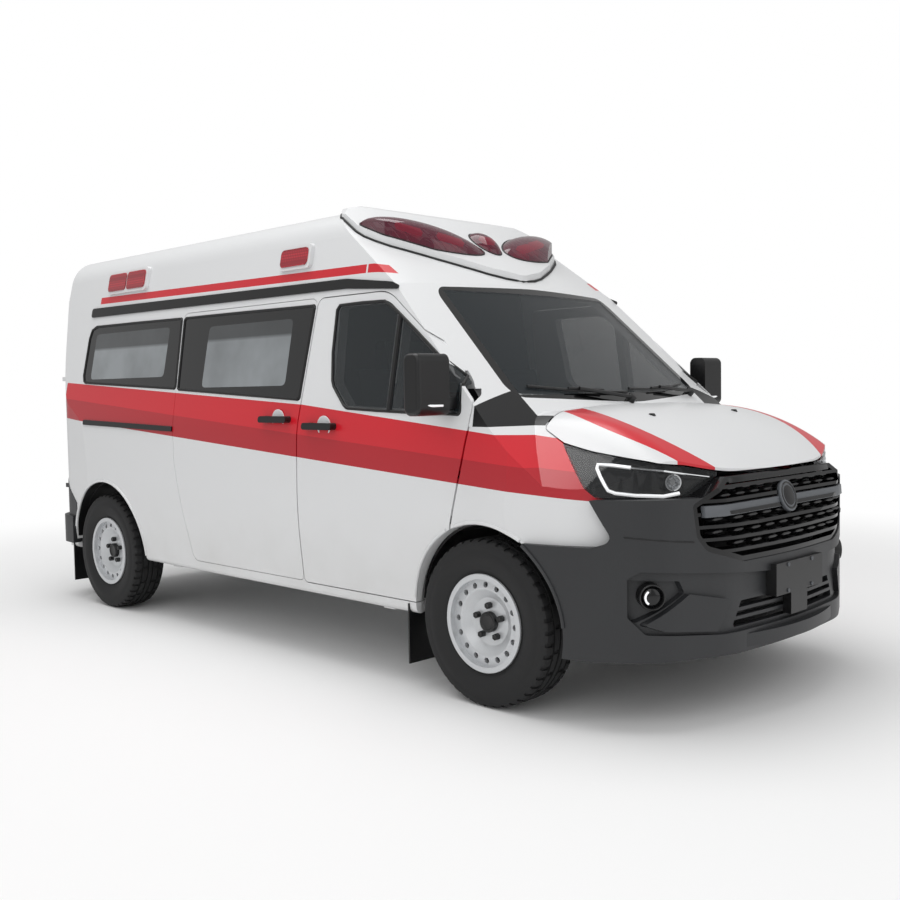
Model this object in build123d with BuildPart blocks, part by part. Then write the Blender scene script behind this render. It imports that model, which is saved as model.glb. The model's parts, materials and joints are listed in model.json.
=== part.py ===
"""High-roof van ambulance: hollow body in panels, hinged doors and bonnet, steered and rolling wheels.

Millimetres. +X is forward, +Y is the vehicle's left, +Z is up. The origin is on the ground,
midway between the two bumpers, in the plane of symmetry.
"""

import os

from build123d import *

os.makedirs("parts", exist_ok=True)

# Overall sizes
LENGTH = 5060.0
WHEELBASE = 3300.0
FRONT_OVERHANG = 980.0
TRACK = 1736.0
X_NOSE = LENGTH / 2
X_TAIL = -LENGTH / 2
X_FRONT_AXLE = X_NOSE - FRONT_OVERHANG
X_REAR_AXLE = X_FRONT_AXLE - WHEELBASE
FAR = 2 * LENGTH

# Walls, gaps and seats
WALL = 60.0
GLASS = 6.0
TRIM = 8.0
PANEL_GAP = 5.0
LINE_GAP = 3.0
SEAT_GAP = 0.3
GLASS_LAP = 18.0
PIN_CLEARANCE = 0.05

# Heights of the body
Z_SILL = 345.0
Z_FLOOR_UNDER = 430.0
Z_FLOOR_TOP = 500.0
Z_ROOF_JOINT = 1880.0
SIDE_JOINT_Y = 700.0

# Body half section across the vehicle: half width, height, corner radius
SECTION = [
    (950.0, Z_SILL, 30.0),
    (992.0, 760.0, 2500.0),
    (984.0, 1190.0, 700.0),
    (852.0, 1868.0, 300.0),
    (838.0, 1940.0, 60.0),
    (772.0, 2262.0, 190.0),
]
ROOF_CROWN_Z = 2430.0
ROOF_CROWN_R = 1800.0

# Body half plan: distance along the vehicle, half width, corner radius
BODY_PLAN = [
    (-2505.0, 780.0, 140.0),
    (-2330.0, 952.0, 260.0),
    (-1850.0, 1000.0, 1200.0),
    (1650.0, 1000.0, 900.0),
    (2060.0, 925.0, 500.0),
    (2270.0, 755.0, 420.0),
    (2400.0, 440.0, 900.0),
]
NOSE_CROWN_X = 2428.0
TAIL_CROWN_X = -2512.0
CROWN_R = 3000.0

# Body profile from the side: distance along the vehicle, height, corner radius
ROOF_PROFILE = [
    (-2512.0, Z_SILL, 0.0),
    (-2512.0, 1300.0, 2500.0),
    (-2430.0, 2460.0, 170.0),
    (-150.0, 2440.0, 1800.0),
    (560.0, 2243.0, 300.0),
    (1060.0, 1890.0, 0.0),
    (2400.0, 650.0, 0.0),
    (2400.0, Z_SILL, 0.0),
]

# Raked fronts of the cab: low point, high point on the centre line, fall of the edges
WINDSCREEN = ((1700.0, 1275.0), (1015.0, 1890.0), 95.0)
ROOF_FRONT = ((1015.0, 1890.0), (470.0, 2268.0), 100.0)
FALL_Y = 750.0
BOW_HALF_Y = 1200.0
BOW_HIGH_Z = 3400.0

# Bonnet surface: centre of its arc from the side, and its cross section
BONNET_CENTRE = (1697.0, 191.0)
BONNET_R = 1096.0
BONNET_HALF = [
    # half width, fall below the top, corner radius
    (350.0, 0.0, 4000.0),
    (705.0, 24.0, 200.0),
    (1010.0, 350.0, 0.0),
]
FIREWALL_X = 1500.0
FIREWALL = 40.0


def outline(table):
    """A closed line through a table of (first, second, corner radius) rows."""
    return FilletPolyline(*[(a, b) for a, b, r in table], radius=[r for a, b, r in table], close=True)


def prism(plane, table, amount, inset=0.0, direction=None):
    """A block drawn out from a plane, with an outline from a table taken in by inset."""
    with BuildPart() as block:
        with BuildSketch(plane):
            with BuildLine():
                outline(table)
            make_face()
            if inset:
                offset(amount=-inset, kind=Kind.INTERSECTION)
        extrude(amount=amount, dir=direction)
    return block.part


def side_prism(table, low=-FAR / 2, high=FAR / 2, inset=0.0):
    """A block with a side-view outline, from y = low to y = high."""
    return prism(Plane.XZ.offset(-high), table, high - low, inset)


def plan_prism(table, low, high, inset=0.0):
    """A block with a plan outline, from z = low to z = high."""
    return prism(Plane.XY.offset(low), table, high - low, inset)


def end_prism(table, low=-FAR / 2, high=FAR / 2, inset=0.0):
    """A block with an end-view outline, from x = low to x = high."""
    return prism(Plane.YZ.offset(low), table, high - low, inset)


def block(low, high):
    """A plain box between two opposite corners."""
    size = [b - a for a, b in zip(low, high)]
    with BuildPart(Location([(a + b) / 2 for a, b in zip(low, high)])) as box:
        Box(*size)
    return box.part


def rod(start, end, radius):
    """A round bar between two points."""
    run = Vector(*end) - Vector(*start)
    with BuildPart() as bar:
        with BuildSketch(Plane(origin=start, z_dir=run)):
            Circle(radius)
        extrude(amount=run.length)
    return bar.part


def cut(shape, *tools):
    """A shape with each tool taken away."""
    with BuildPart() as piece:
        add(shape)
        for tool in tools:
            add(tool, mode=Mode.SUBTRACT)
    return piece.part


def keep(shape, *tools):
    """What a shape has in common with each tool."""
    with BuildPart() as piece:
        add(shape)
        for tool in tools:
            add(tool, mode=Mode.INTERSECT)
    return piece.part


def fuse(*shapes):
    """Shapes joined into one."""
    with BuildPart() as piece:
        for shape in shapes:
            add(shape)
    return piece.part


def flip(shape):
    """The same shape on the vehicle's other side."""
    with BuildPart() as piece:
        mirror(shape, about=Plane.XZ)
    return piece.part


def save(shape, name):
    """Keep the solids of a finished piece in its own file."""
    with BuildPart() as piece:
        add(shape)
    piece.part.label = name
    export_step(piece.part, f"parts/{name}.step")


def both_halves(table, *crowns):
    """An outline from (along, half width, radius) rows on the right, a crown row, and the left."""
    right = [(x, -y, r) for x, y, r in table]
    left = [(x, y, r) for x, y, r in reversed(table)]
    return [*right, *crowns[:1], *left, *crowns[1:]]


def section_prism(inset=0.0):
    """The body's cross section, drawn out along the vehicle."""
    left = [(-y, z, r) for y, z, r in reversed(SECTION)]
    return end_prism([*SECTION, (0.0, ROOF_CROWN_Z, ROOF_CROWN_R), *left], inset=inset)


def bowed_prism(front, inset=0.0):
    """Everything behind a raked, bowed front surface, taken in by inset."""
    (low_x, low_z), (high_x, high_z), edge_fall = front
    rake = Vector(high_x - low_x, 0, high_z - low_z)
    foot = low_x - low_z * rake.X / rake.Z - inset * rake.length / rake.Z
    edge = foot - edge_fall * (BOW_HALF_Y / FALL_Y) ** 2
    with BuildPart() as behind:
        with BuildSketch():
            with BuildLine():
                ThreePointArc((edge, -BOW_HALF_Y), (foot, 0), (edge, BOW_HALF_Y))
                Polyline(
                    (edge, BOW_HALF_Y),
                    (-FAR / 2, BOW_HALF_Y),
                    (-FAR / 2, -BOW_HALF_Y),
                    (edge, -BOW_HALF_Y),
                )
            make_face()
        extrude(amount=rake.length * BOW_HIGH_Z / rake.Z, dir=rake)
    return behind.part


def bonnet_prism(inset=0.0):
    """Everything below the arched bonnet surface, turned about a line across the vehicle."""
    low_x, low_z = BONNET_CENTRE
    rows = [(y, low_z + BONNET_R - fall - inset, r) for y, fall, r in BONNET_HALF]
    foot = (BONNET_HALF[-1][0], low_z, 0.0)
    with BuildPart() as below:
        with BuildSketch(Plane.YZ.offset(low_x)):
            with BuildLine():
                outline([*rows, foot, (-foot[0], low_z, 0.0), *[(-y, z, r) for y, z, r in reversed(rows)]])
            make_face()
        revolve(axis=Axis((low_x, 0, low_z), (0, 1, 0)))
    return below.part


def body_form(inset=0.0):
    """The whole body as one solid, taken in by inset from its outer surface."""
    plan = both_halves(BODY_PLAN, (NOSE_CROWN_X, 0.0, CROWN_R), (TAIL_CROWN_X, 0.0, CROWN_R))
    with BuildPart() as form:
        add(bowed_prism(WINDSCREEN, inset))
        add(bowed_prism(ROOF_FRONT, inset), mode=Mode.INTERSECT)
        add(side_prism(ROOF_PROFILE, inset=inset), mode=Mode.INTERSECT)
        add(bonnet_prism(inset))
        add(section_prism(inset), mode=Mode.INTERSECT)
        add(plan_prism(plan, 0, FAR / 2, inset), mode=Mode.INTERSECT)
    return form.part


outer = body_form()
inner = body_form(WALL)
skin = body_form(GLASS)

# Wheels, arches and their liners
TYRE_R = 364.5
TYRE_WIDTH = 215.0
WHEEL_Z = TYRE_R
HALF_TRACK = TRACK / 2
FRONT_ARCH_R = 432.0
REAR_ARCH_R = 452.0
ARCH_SHIFT = 10.0
FRONT_ARCH_Y = 518.0
REAR_ARCH_Y = 545.0
KINGPIN_Y = 700.0
STEER_GAP = 10.0
LINER = 10.0
UNDER_Y = 870.0
ARCHES = [
    # arch name, centre along the vehicle, radius, inner end across
    ("front", X_FRONT_AXLE + ARCH_SHIFT, FRONT_ARCH_R, FRONT_ARCH_Y),
    ("rear", X_REAR_AXLE + ARCH_SHIFT, REAR_ARCH_R, REAR_ARCH_Y),
]

# Cut lines of the panels seen from the side: distance along, height, corner radius
FRONT_DOOR = [
    (300.0, 398.0, 30.0),
    (300.0, 1120.0, 900.0),
    (350.0, 1842.0, 50.0),
    (880.0, 1842.0, 220.0),
    (1450.0, 1432.0, 70.0),
    (1515.0, 1300.0, 60.0),
    (1500.0, 1200.0, 250.0),
    (1385.0, 770.0, 60.0),
    (1385.0, 398.0, 0.0),
]
SLIDING_DOOR = [
    (300.0, 405.0, 30.0),
    (300.0, 1120.0, 900.0),
    (350.0, 1842.0, 50.0),
    (-925.0, 1842.0, 50.0),
    (-884.0, 1130.0, 500.0),
    (-878.0, 980.0, 300.0),
    (-735.0, 405.0, 60.0),
]
BONNET_SIDE = [
    (1740.0, 1420.0, 0.0),
    (1740.0, 1195.0, 40.0),
    (1878.0, 1136.0, 60.0),
    (2020.0, 1104.0, 200.0),
    (2240.0, 1068.0, 200.0),
    (2330.0, 1048.0, 100.0),
    (2400.0, 1010.0, 40.0),
    (2600.0, 1000.0, 0.0),
    (2600.0, 1420.0, 0.0),
]
HEADLAMP_SIDE = [
    (1872.0, 1140.0, 20.0),
    (2104.0, 925.0, 40.0),
    (2600.0, 925.0, 0.0),
    (2600.0, 1300.0, 0.0),
    (1872.0, 1300.0, 0.0),
]
HEADLAMP_INNER_Y = 455.0
BUMPER_SIDE = [
    (1800.0, 260.0, 0.0),
    (2620.0, 260.0, 0.0),
    (2620.0, 925.0, 0.0),
    (2104.0, 925.0, 0.0),
    (2188.0, 765.0, 30.0),
    (2110.0, 738.0, 30.0),
    (1800.0, 735.0, 0.0),
]
WING_SIDE = [
    (1300.0, 300.0, 0.0),
    (1375.0, 770.0, 0.0),
    (1490.0, 1208.0, 0.0),
    (1740.0, 1208.0, 0.0),
    (1740.0, 1600.0, 0.0),
    (2700.0, 1600.0, 0.0),
    (2700.0, 300.0, 0.0),
]
SAIL = [
    (1524.0, 1208.0, 0.0),
    (1740.0, 1208.0, 0.0),
    (1740.0, 1290.0, 20.0),
    (1520.0, 1440.0, 20.0),
]

# Front door hinge axis and the space its leading edge swings through: low, high, radius
DOOR_HINGE = (1372.0, -976.0)
DOOR_SWING = [
    (1200.0, 1370.0, 150.0),
    (1370.0, 1450.0, 122.0),
]
WING_GAP = 6.0

# Windows: outlines of the glass and of the clear openings behind it
DOOR_GLASS = [
    (506.0, 1800.0, 40.0),
    (880.0, 1800.0, 190.0),
    (1430.0, 1412.0, 20.0),
    (1450.0, 1252.0, 20.0),
    (668.0, 1280.0, 40.0),
    (540.0, 1400.0, 60.0),
]
DOOR_BAR = (955.0, 1005.0)
SLIDING_GLASS = [
    (304.0, 1322.0, 20.0),
    (338.0, 1812.0, 20.0),
    (-912.0, 1820.0, 20.0),
    (-884.0, 1388.0, 20.0),
]
SLIDING_PANE = [
    (150.0, 1372.0, 60.0),
    (190.0, 1760.0, 60.0),
    (-650.0, 1775.0, 60.0),
    (-640.0, 1430.0, 60.0),
]
QUARTER_GLASS = [
    (-930.0, 1820.0, 20.0),
    (-2075.0, 1828.0, 90.0),
    (-2085.0, 1446.0, 50.0),
    (-898.0, 1392.0, 20.0),
]
QUARTER_PANE = [
    (-1040.0, 1776.0, 60.0),
    (-1990.0, 1790.0, 80.0),
    (-2010.0, 1480.0, 60.0),
    (-1030.0, 1432.0, 60.0),
]
WINDSCREEN_HALF = [
    # half width, height, corner radius
    (745.0, 1330.0, 60.0),
    (662.0, 1862.0, 80.0),
]
WINDSCREEN_FOOT_Z = 1292.0
WINDSCREEN_HEAD_Z = 1878.0
REAR_DOOR = [
    # half width, height, corner radius
    (2.5, 570.0, 0.0),
    (800.0, 570.0, 40.0),
    (800.0, 1250.0, 900.0),
    (735.0, Z_ROOF_JOINT, 60.0),
    (2.5, Z_ROOF_JOINT, 0.0),
]
REAR_GLASS = [
    (60.0, 1330.0, 40.0),
    (745.0, 1330.0, 60.0),
    (700.0, 1800.0, 60.0),
    (60.0, 1800.0, 40.0),
]
REAR_DOOR_X = -2380.0
WINDSCREEN_BEHIND_X = 850.0
TAIL_LAMP = [
    (835.0, 960.0, 40.0),
    (1000.0, 960.0, 0.0),
    (1000.0, 1440.0, 0.0),
    (835.0, 1440.0, 40.0),
]
TAIL_LAMP_X = -2370.0

Z_SAIL = 1208.0

# Jacking pads under the sills: places along the vehicle, then half length, sides, depth
JACK_X = (900.0, -1000.0)
JACK_PAD = (40.0, (876.0, 914.0), 10.0)

# Plate bracket: pattern of its screw holes
PLATE_CENTRE_Z = 554.5
PLATE_HOLES = (210.0, 110.0)
PLATE_HOLE_R = 3.25
PLATE_HOLE_X = 2420.0

# Bumpers: half plan outlines, heights and wall
BUMPER_PLAN = [
    (1600.0, 992.0, 0.0),
    (1880.0, 992.0, 500.0),
    (2130.0, 935.0, 350.0),
    (2330.0, 785.0, 380.0),
    (2465.0, 470.0, 500.0),
]
BUMPER_NOSE_X = 2506.0
BUMPER_WALL = 55.0
BUMPER_LOW_Z = 285.0
BUMPER_TOP_Z = 925.0
LIP_LOW_Z = 302.0
LIP_TOP_Z = 356.0
LIP_REACH = (2250.0, 800.0)
REAR_BUMPER_PLAN = [
    (X_TAIL, 800.0, 150.0),
    (-2360.0, 975.0, 200.0),
    (-2190.0, 985.0, 0.0),
]
REAR_BUMPER_Z = (380.0, 562.0)
GRILLE_OPENING = [
    # half width, height, corner radius
    (400.0, 655.0, 60.0),
    (585.0, 712.0, 60.0),
    (628.0, 770.0, 40.0),
    (645.0, 900.0, 20.0),
    (462.0, 1000.0, 20.0),
]
GRILLE_REACH_X = 2250.0
INTAKE = [
    (443.0, 388.0, 12.0),
    (384.0, 491.0, 12.0),
]
INTAKE_BACK_X = 2250.0
SLATS = [
    # low edge, high edge
    (416.0, 430.0),
    (450.0, 464.0),
]
RECESS_BACK_X = 1950.0
RECESS_DEPTH = 22.0
RECESS = [
    (520.0, 373.0, 10.0),
    (817.0, 397.0, 20.0),
    (861.0, 465.0, 20.0),
    (861.0, 618.0, 15.0),
    (829.0, 646.0, 10.0),
    (476.0, 617.0, 40.0),
    (195.0, 594.0, 20.0),
]
FACET = [
    (538.0, 388.0, 8.0),
    (754.0, 407.0, 8.0),
    (822.0, 434.0, 8.0),
    (660.0, 548.0, 8.0),
    (468.0, 509.0, 8.0),
]
FOG_DEPTH = 44.0
FOG_POCKET = [
    (660.0, 552.0, 10.0),
    (828.0, 440.0, 10.0),
    (855.0, 472.0, 15.0),
    (852.0, 612.0, 15.0),
    (682.0, 600.0, 10.0),
]


def halves(table):
    """A right-left outline from (half width, height, radius) rows."""
    return [*table, *[(-a, b, r) for a, b, r in reversed(table)]]


# Hollow body wall: floor and firewall stay, the engine bay is open below
with BuildPart() as cavity:
    add(inner)
    add(block((-FAR, -FAR, 0), (FIREWALL_X + FIREWALL, FAR, Z_FLOOR_TOP)), mode=Mode.SUBTRACT)
    add(block((FIREWALL_X, -FAR, 0), (FIREWALL_X + FIREWALL, FAR, FAR)), mode=Mode.SUBTRACT)

arch_cuts = []
for arch_name, arch_x, arch_r, arch_y in ARCHES:
    for low, high in ((-FAR / 2, -arch_y), (arch_y, FAR / 2)):
        arch_cuts.append(rod((arch_x, low, WHEEL_Z), (arch_x, high, WHEEL_Z), arch_r))


def steer_room(grow):
    """The room that the steered right tyre passes through, grown all round."""
    reach = Vector(TYRE_R, HALF_TRACK + TYRE_WIDTH / 2 - KINGPIN_Y, 0).length + STEER_GAP
    with BuildPart(Location((X_FRONT_AXLE, -KINGPIN_Y, WHEEL_Z))) as room:
        Sphere(reach + grow)
    top_z = WHEEL_Z + TYRE_R + STEER_GAP + grow
    return keep(room.part, block((-FAR, -FAR, 0), (FAR, grow - FRONT_ARCH_Y - LINER, top_z)))


arch_cuts += [steer_room(LINER), flip(steer_room(LINER))]

bumper_zone = side_prism(BUMPER_SIDE)
rear_bumper_rows = both_halves(REAR_BUMPER_PLAN)
rear_bumper_form = plan_prism(rear_bumper_rows, *REAR_BUMPER_Z)
grille_zone = end_prism(halves(GRILLE_OPENING), low=GRILLE_REACH_X)

wall = cut(
    outer,
    cavity.part,
    block((TAIL_CROWN_X + WALL, -UNDER_Y, 0), (FIREWALL_X + FIREWALL, UNDER_Y, Z_FLOOR_UNDER)),
    block((FIREWALL_X + FIREWALL, -UNDER_Y, 0), (X_NOSE, UNDER_Y, Z_FLOOR_TOP)),
    *arch_cuts,
    bumper_zone,
    rear_bumper_form,
    grille_zone,
)

# Regions that divide the wall
core = section_prism(WALL)
above_roof_joint = block((-FAR, -FAR, Z_ROOF_JOINT), (FAR, FAR, FAR))
below_floor = block((-FAR, -FAR, 0), (FAR, FAR, Z_FLOOR_TOP))
between = block((-FAR, -FAR, Z_FLOOR_TOP), (FAR, FAR, Z_ROOF_JOINT))
right_side = block((-FAR, -FAR, 0), (FAR, -SIDE_JOINT_Y, FAR))
middle = block((0, -SIDE_JOINT_Y, 0), (BONNET_SIDE[0][0], SIDE_JOINT_Y, FAR))
firewall_zone = keep(core, block((FIREWALL_X, -FAR, Z_FLOOR_TOP), (FIREWALL_X + FIREWALL, FAR, Z_SAIL)))


def side_hole(table, inset=0.0):
    """A cut line through the right wall only."""
    return cut(side_prism(table, high=-SIDE_JOINT_Y, inset=inset), core)


door_hole = side_hole(FRONT_DOOR)
wing_gap = door_hole.moved(Location((WING_GAP, 0, 0)))
door_x, door_y = DOOR_HINGE
door_swing = [
    keep(
        rod((door_x, door_y, low_z), (door_x, door_y, high_z), radius),
        side_prism(FRONT_DOOR, high=-SIDE_JOINT_Y),
    )
    for low_z, high_z, radius in DOOR_SWING
]
sliding_hole = side_hole(SLIDING_DOOR)
wing_zone = side_prism(WING_SIDE, high=-SIDE_JOINT_Y)
bonnet_zone = side_prism(BONNET_SIDE)
lamp_zone = side_prism(HEADLAMP_SIDE, high=-HEADLAMP_INNER_Y)
sail_zone = side_prism(SAIL, high=-SIDE_JOINT_Y)
right_rear = [(-a, b, r) for a, b, r in REAR_DOOR]
rear_hole = end_prism(right_rear, high=REAR_DOOR_X)
tail_zone = end_prism([(-a, b, r) for a, b, r in TAIL_LAMP], high=TAIL_LAMP_X)
windscreen_rows = [
    *WINDSCREEN_HALF,
    (0.0, WINDSCREEN_HEAD_Z, 2000.0),
    *[(-a, b, r) for a, b, r in reversed(WINDSCREEN_HALF)],
    (0.0, WINDSCREEN_FOOT_Z, 2000.0),
]
windscreen_zone = end_prism(windscreen_rows, low=WINDSCREEN_BEHIND_X)
windscreen_clear = end_prism(windscreen_rows, low=WINDSCREEN_BEHIND_X, inset=GLASS_LAP)
glass_shell = cut(outer, skin)
windscreen = keep(glass_shell, windscreen_zone, between)

# Roof, floor and cowl
roof = cut(keep(wall, above_roof_joint), windscreen)
jack_x, jack_y, jack_z = JACK_PAD
jack_pads = []
for pad_x in JACK_X:
    for sign in (-1, 1):
        low_y, high_y = sorted((sign * jack_y[0], sign * jack_y[1]))
        low_corner = (pad_x - jack_x, low_y, Z_SILL - jack_z)
        jack_pads.append(block(low_corner, (pad_x + jack_x, high_y, Z_SILL + jack_z)))
floor_pan = fuse(
    cut(keep(wall, below_floor), door_hole, flip(door_hole), sliding_hole, wing_zone, flip(wing_zone)),
    *jack_pads,
)
cowl = cut(
    fuse(keep(wall, middle, between), keep(wall, firewall_zone)),
    bonnet_zone,
    lamp_zone,
    flip(lamp_zone),
    windscreen,
    windscreen_clear,
)

# Right side, then its mirror image without the sliding door
plain_side = cut(
    keep(wall, right_side, between),
    door_hole,
    wing_zone,
    sail_zone,
    rear_hole,
    tail_zone,
    firewall_zone,
    windscreen,
    windscreen_clear,
    *door_swing,
)
quarter_glass = keep(glass_shell, side_prism(QUARTER_GLASS, high=0))
quarter_open = side_prism(QUARTER_PANE, high=0)
sliding_glass = keep(glass_shell, side_prism(SLIDING_GLASS, high=0))
sliding_open = side_prism(SLIDING_PANE, high=0)
side_right = cut(plain_side, sliding_hole, quarter_glass, quarter_open)
side_left = flip(cut(plain_side, quarter_glass, quarter_open, sliding_glass, sliding_open))
sliding_panel = keep(wall, side_hole(SLIDING_DOOR, LINE_GAP))
sliding_door = cut(sliding_panel, sliding_glass, sliding_open)
sail = cut(keep(wall, sail_zone, between), firewall_zone, windscreen, windscreen_clear)
tail_lamp = keep(wall, tail_zone)

# Nose
wing_right = cut(
    keep(wall, wing_zone),
    bonnet_zone,
    lamp_zone,
    door_hole,
    wing_gap,
    sail_zone,
    firewall_zone,
    *door_swing,
)
headlamp = cut(keep(wall, lamp_zone), bonnet_zone)
front_rows = both_halves(BUMPER_PLAN, (BUMPER_NOSE_X, 0.0, CROWN_R))
lip_x, lip_y = LIP_REACH
with BuildPart() as lip:
    with BuildSketch(Plane.XY.offset(LIP_LOW_Z)):
        with BuildLine():
            ThreePointArc((lip_x, -lip_y), (X_NOSE, 0), (lip_x, lip_y))
            Line((lip_x, lip_y), (lip_x, -lip_y))
        make_face()
    extrude(amount=LIP_TOP_Z - LIP_LOW_Z)
slats = [block((INTAKE_BACK_X, -FAR, low_z), (FAR, FAR, high_z)) for low_z, high_z in SLATS]
intake_zone = cut(end_prism(halves(INTAKE), low=INTAKE_BACK_X), *slats)
facet_zone = end_prism([(-a, b, r) for a, b, r in FACET], low=RECESS_BACK_X)
recess_zone = cut(
    end_prism(halves(RECESS), low=RECESS_BACK_X),
    facet_zone,
    flip(facet_zone),
    plan_prism(front_rows, 0, FAR / 2, RECESS_DEPTH),
)
fog_zone = cut(
    end_prism([(-a, b, r) for a, b, r in FOG_POCKET], low=RECESS_BACK_X),
    plan_prism(front_rows, 0, FAR / 2, FOG_DEPTH),
)
plate_holes = []
for sign_y in (-1, 1):
    for sign_z in (-1, 1):
        hole_y = sign_y * PLATE_HOLES[0] / 2
        hole_z = PLATE_CENTRE_Z + sign_z * PLATE_HOLES[1] / 2
        plate_holes.append(rod((PLATE_HOLE_X, hole_y, hole_z), (X_NOSE, hole_y, hole_z), PLATE_HOLE_R))
front_bumper = cut(
    fuse(keep(plan_prism(front_rows, BUMPER_LOW_Z, BUMPER_TOP_Z), bumper_zone), lip.part),
    plan_prism(front_rows, 0, FAR / 2, BUMPER_WALL),
    intake_zone,
    grille_zone,
    recess_zone,
    fog_zone,
    flip(fog_zone),
    *arch_cuts,
    *plate_holes,
)
bumper_mouth_x, bumper_mouth_y, mouth_r = REAR_BUMPER_PLAN[-1]
rear_bumper = cut(
    rear_bumper_form,
    plan_prism(rear_bumper_rows, 0, FAR / 2, BUMPER_WALL),
    block(
        (bumper_mouth_x - 2 * BUMPER_WALL, BUMPER_WALL - bumper_mouth_y - SEAT_GAP, 0),
        (bumper_mouth_x + BUMPER_WALL, bumper_mouth_y - BUMPER_WALL + SEAT_GAP, FAR),
    ),
    *arch_cuts,
)

# Front doors: hinge axis, pockets, pins and the arms that carry them
DOOR_HINGE_Z = (800.0, 1000.0)
DOOR_PIN_R = 4.0
DOOR_EYE_R = 8.0
HINGE_PIN_R = 6.0
HINGE_EYE_R = 9.0
HINGE_HALF = 10.0
STEM_HALF = 6.0
POCKET_HALF = 17.0
POCKET_BACK = 16.0
POCKET_OUT = 9.3
ARM_Y = (-885.0, -862.0)
DOOR_SHEET = 16.0
DOOR_LIP = 10.0
DOOR_SHEET_X = 1396.0
DOOR_SHEET_Z = 700.0

door_glass = keep(glass_shell, side_hole(DOOR_GLASS))
bar_low, bar_high = DOOR_BAR
door_open = cut(
    side_prism(DOOR_GLASS, high=0, inset=GLASS_LAP),
    block((bar_low, -FAR, 0), (bar_high, FAR, FAR)),
)
door_thin = keep(
    section_prism(DOOR_SHEET),
    block((DOOR_SHEET_X, -FAR, DOOR_SHEET_Z), (FAR, -SIDE_JOINT_Y, FAR)),
)
door_back = keep(side_hole(SLIDING_DOOR).moved(Location((PANEL_GAP, 0, 0))), section_prism(DOOR_LIP))
door_panel = cut(keep(wall, side_hole(FRONT_DOOR, PANEL_GAP)), door_glass, door_open, door_thin, door_back)
pockets = []
pins = []
arms = []
for hinge_z in DOOR_HINGE_Z:
    low_z = hinge_z - POCKET_HALF
    high_z = hinge_z + POCKET_HALF
    pocket_low = (door_x - POCKET_BACK, door_y - POCKET_OUT, low_z)
    pockets.append(block(pocket_low, (FIREWALL_X, -SIDE_JOINT_Y, high_z)))
    pin_low = (door_x, door_y, low_z - HINGE_HALF)
    pins.append(rod(pin_low, (door_x, door_y, high_z + HINGE_HALF), DOOR_PIN_R))
    with BuildPart() as arm:
        add(rod((door_x, door_y, hinge_z - HINGE_HALF), (door_x, door_y, hinge_z + HINGE_HALF), DOOR_EYE_R))
        add(
            block(
                (door_x - STEM_HALF, door_y, hinge_z - HINGE_HALF),
                (door_x + STEM_HALF, ARM_Y[1], hinge_z + HINGE_HALF),
            )
        )
        add(
            block(
                (door_x - STEM_HALF, ARM_Y[0], hinge_z - HINGE_HALF),
                (FIREWALL_X, ARM_Y[1], hinge_z + HINGE_HALF),
            )
        )
        add(
            rod((door_x, door_y, 0), (door_x, door_y, FAR), DOOR_PIN_R + PIN_CLEARANCE),
            mode=Mode.SUBTRACT,
        )
    arms.append(arm.part)
front_door = fuse(cut(door_panel, *pockets), *pins)
door_arms = fuse(*arms)

# Door mirrors and handles
MIRROR = ((1335.0, -1205.0, 1258.0), (1432.0, -1020.0, 1522.0))
MIRROR_R = 34.0
MIRROR_ARM = ((1365.0, -1030.0, 1285.0), (1415.0, -940.0, 1335.0))
HANDLES = [
    # handle name, rear end, front end, height
    ("front_door", 385.0, 615.0, 1198.0),
    ("sliding_door", 12.0, 248.0, 1229.0),
]
HANDLE_HALF = 17.0
HANDLE_R = 15.3
HANDLE_PROUD = 38.0
HANDLE_THICK = 18.0
HANDLE_FOOT = 45.0
with BuildPart() as mirror_housing:
    add(block(*MIRROR))
    fillet(mirror_housing.edges().filter_by(Axis.Y), MIRROR_R)
    fillet(mirror_housing.faces().sort_by(Axis.Y)[0].edges(), MIRROR_R / 2)
    add(block(*MIRROR_ARM))
    add(outer, mode=Mode.SUBTRACT)
door_mirror = mirror_housing.part


def handle(rear, front, height):
    """A pull bar standing on two feet on the right wall."""
    rows = [
        (rear, height - HANDLE_HALF, HANDLE_R),
        (front, height - HANDLE_HALF, HANDLE_R),
        (front, height + HANDLE_HALF, HANDLE_R),
        (rear, height + HANDLE_HALF, HANDLE_R),
    ]
    grip = side_prism(rows, high=-SIDE_JOINT_Y)
    gap_rows = [
        (rear + HANDLE_FOOT, height - 2 * HANDLE_HALF, 0.0),
        (front - HANDLE_FOOT, height - 2 * HANDLE_HALF, 0.0),
        (front - HANDLE_FOOT, height + 2 * HANDLE_HALF, 0.0),
        (rear + HANDLE_FOOT, height + 2 * HANDLE_HALF, 0.0),
    ]
    under = keep(side_prism(gap_rows, high=-SIDE_JOINT_Y), section_prism(HANDLE_THICK - HANDLE_PROUD))
    return cut(keep(grip, section_prism(-HANDLE_PROUD)), section_prism(), under)


handles = {name: handle(rear, front, height) for name, rear, front, height in HANDLES}

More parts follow.
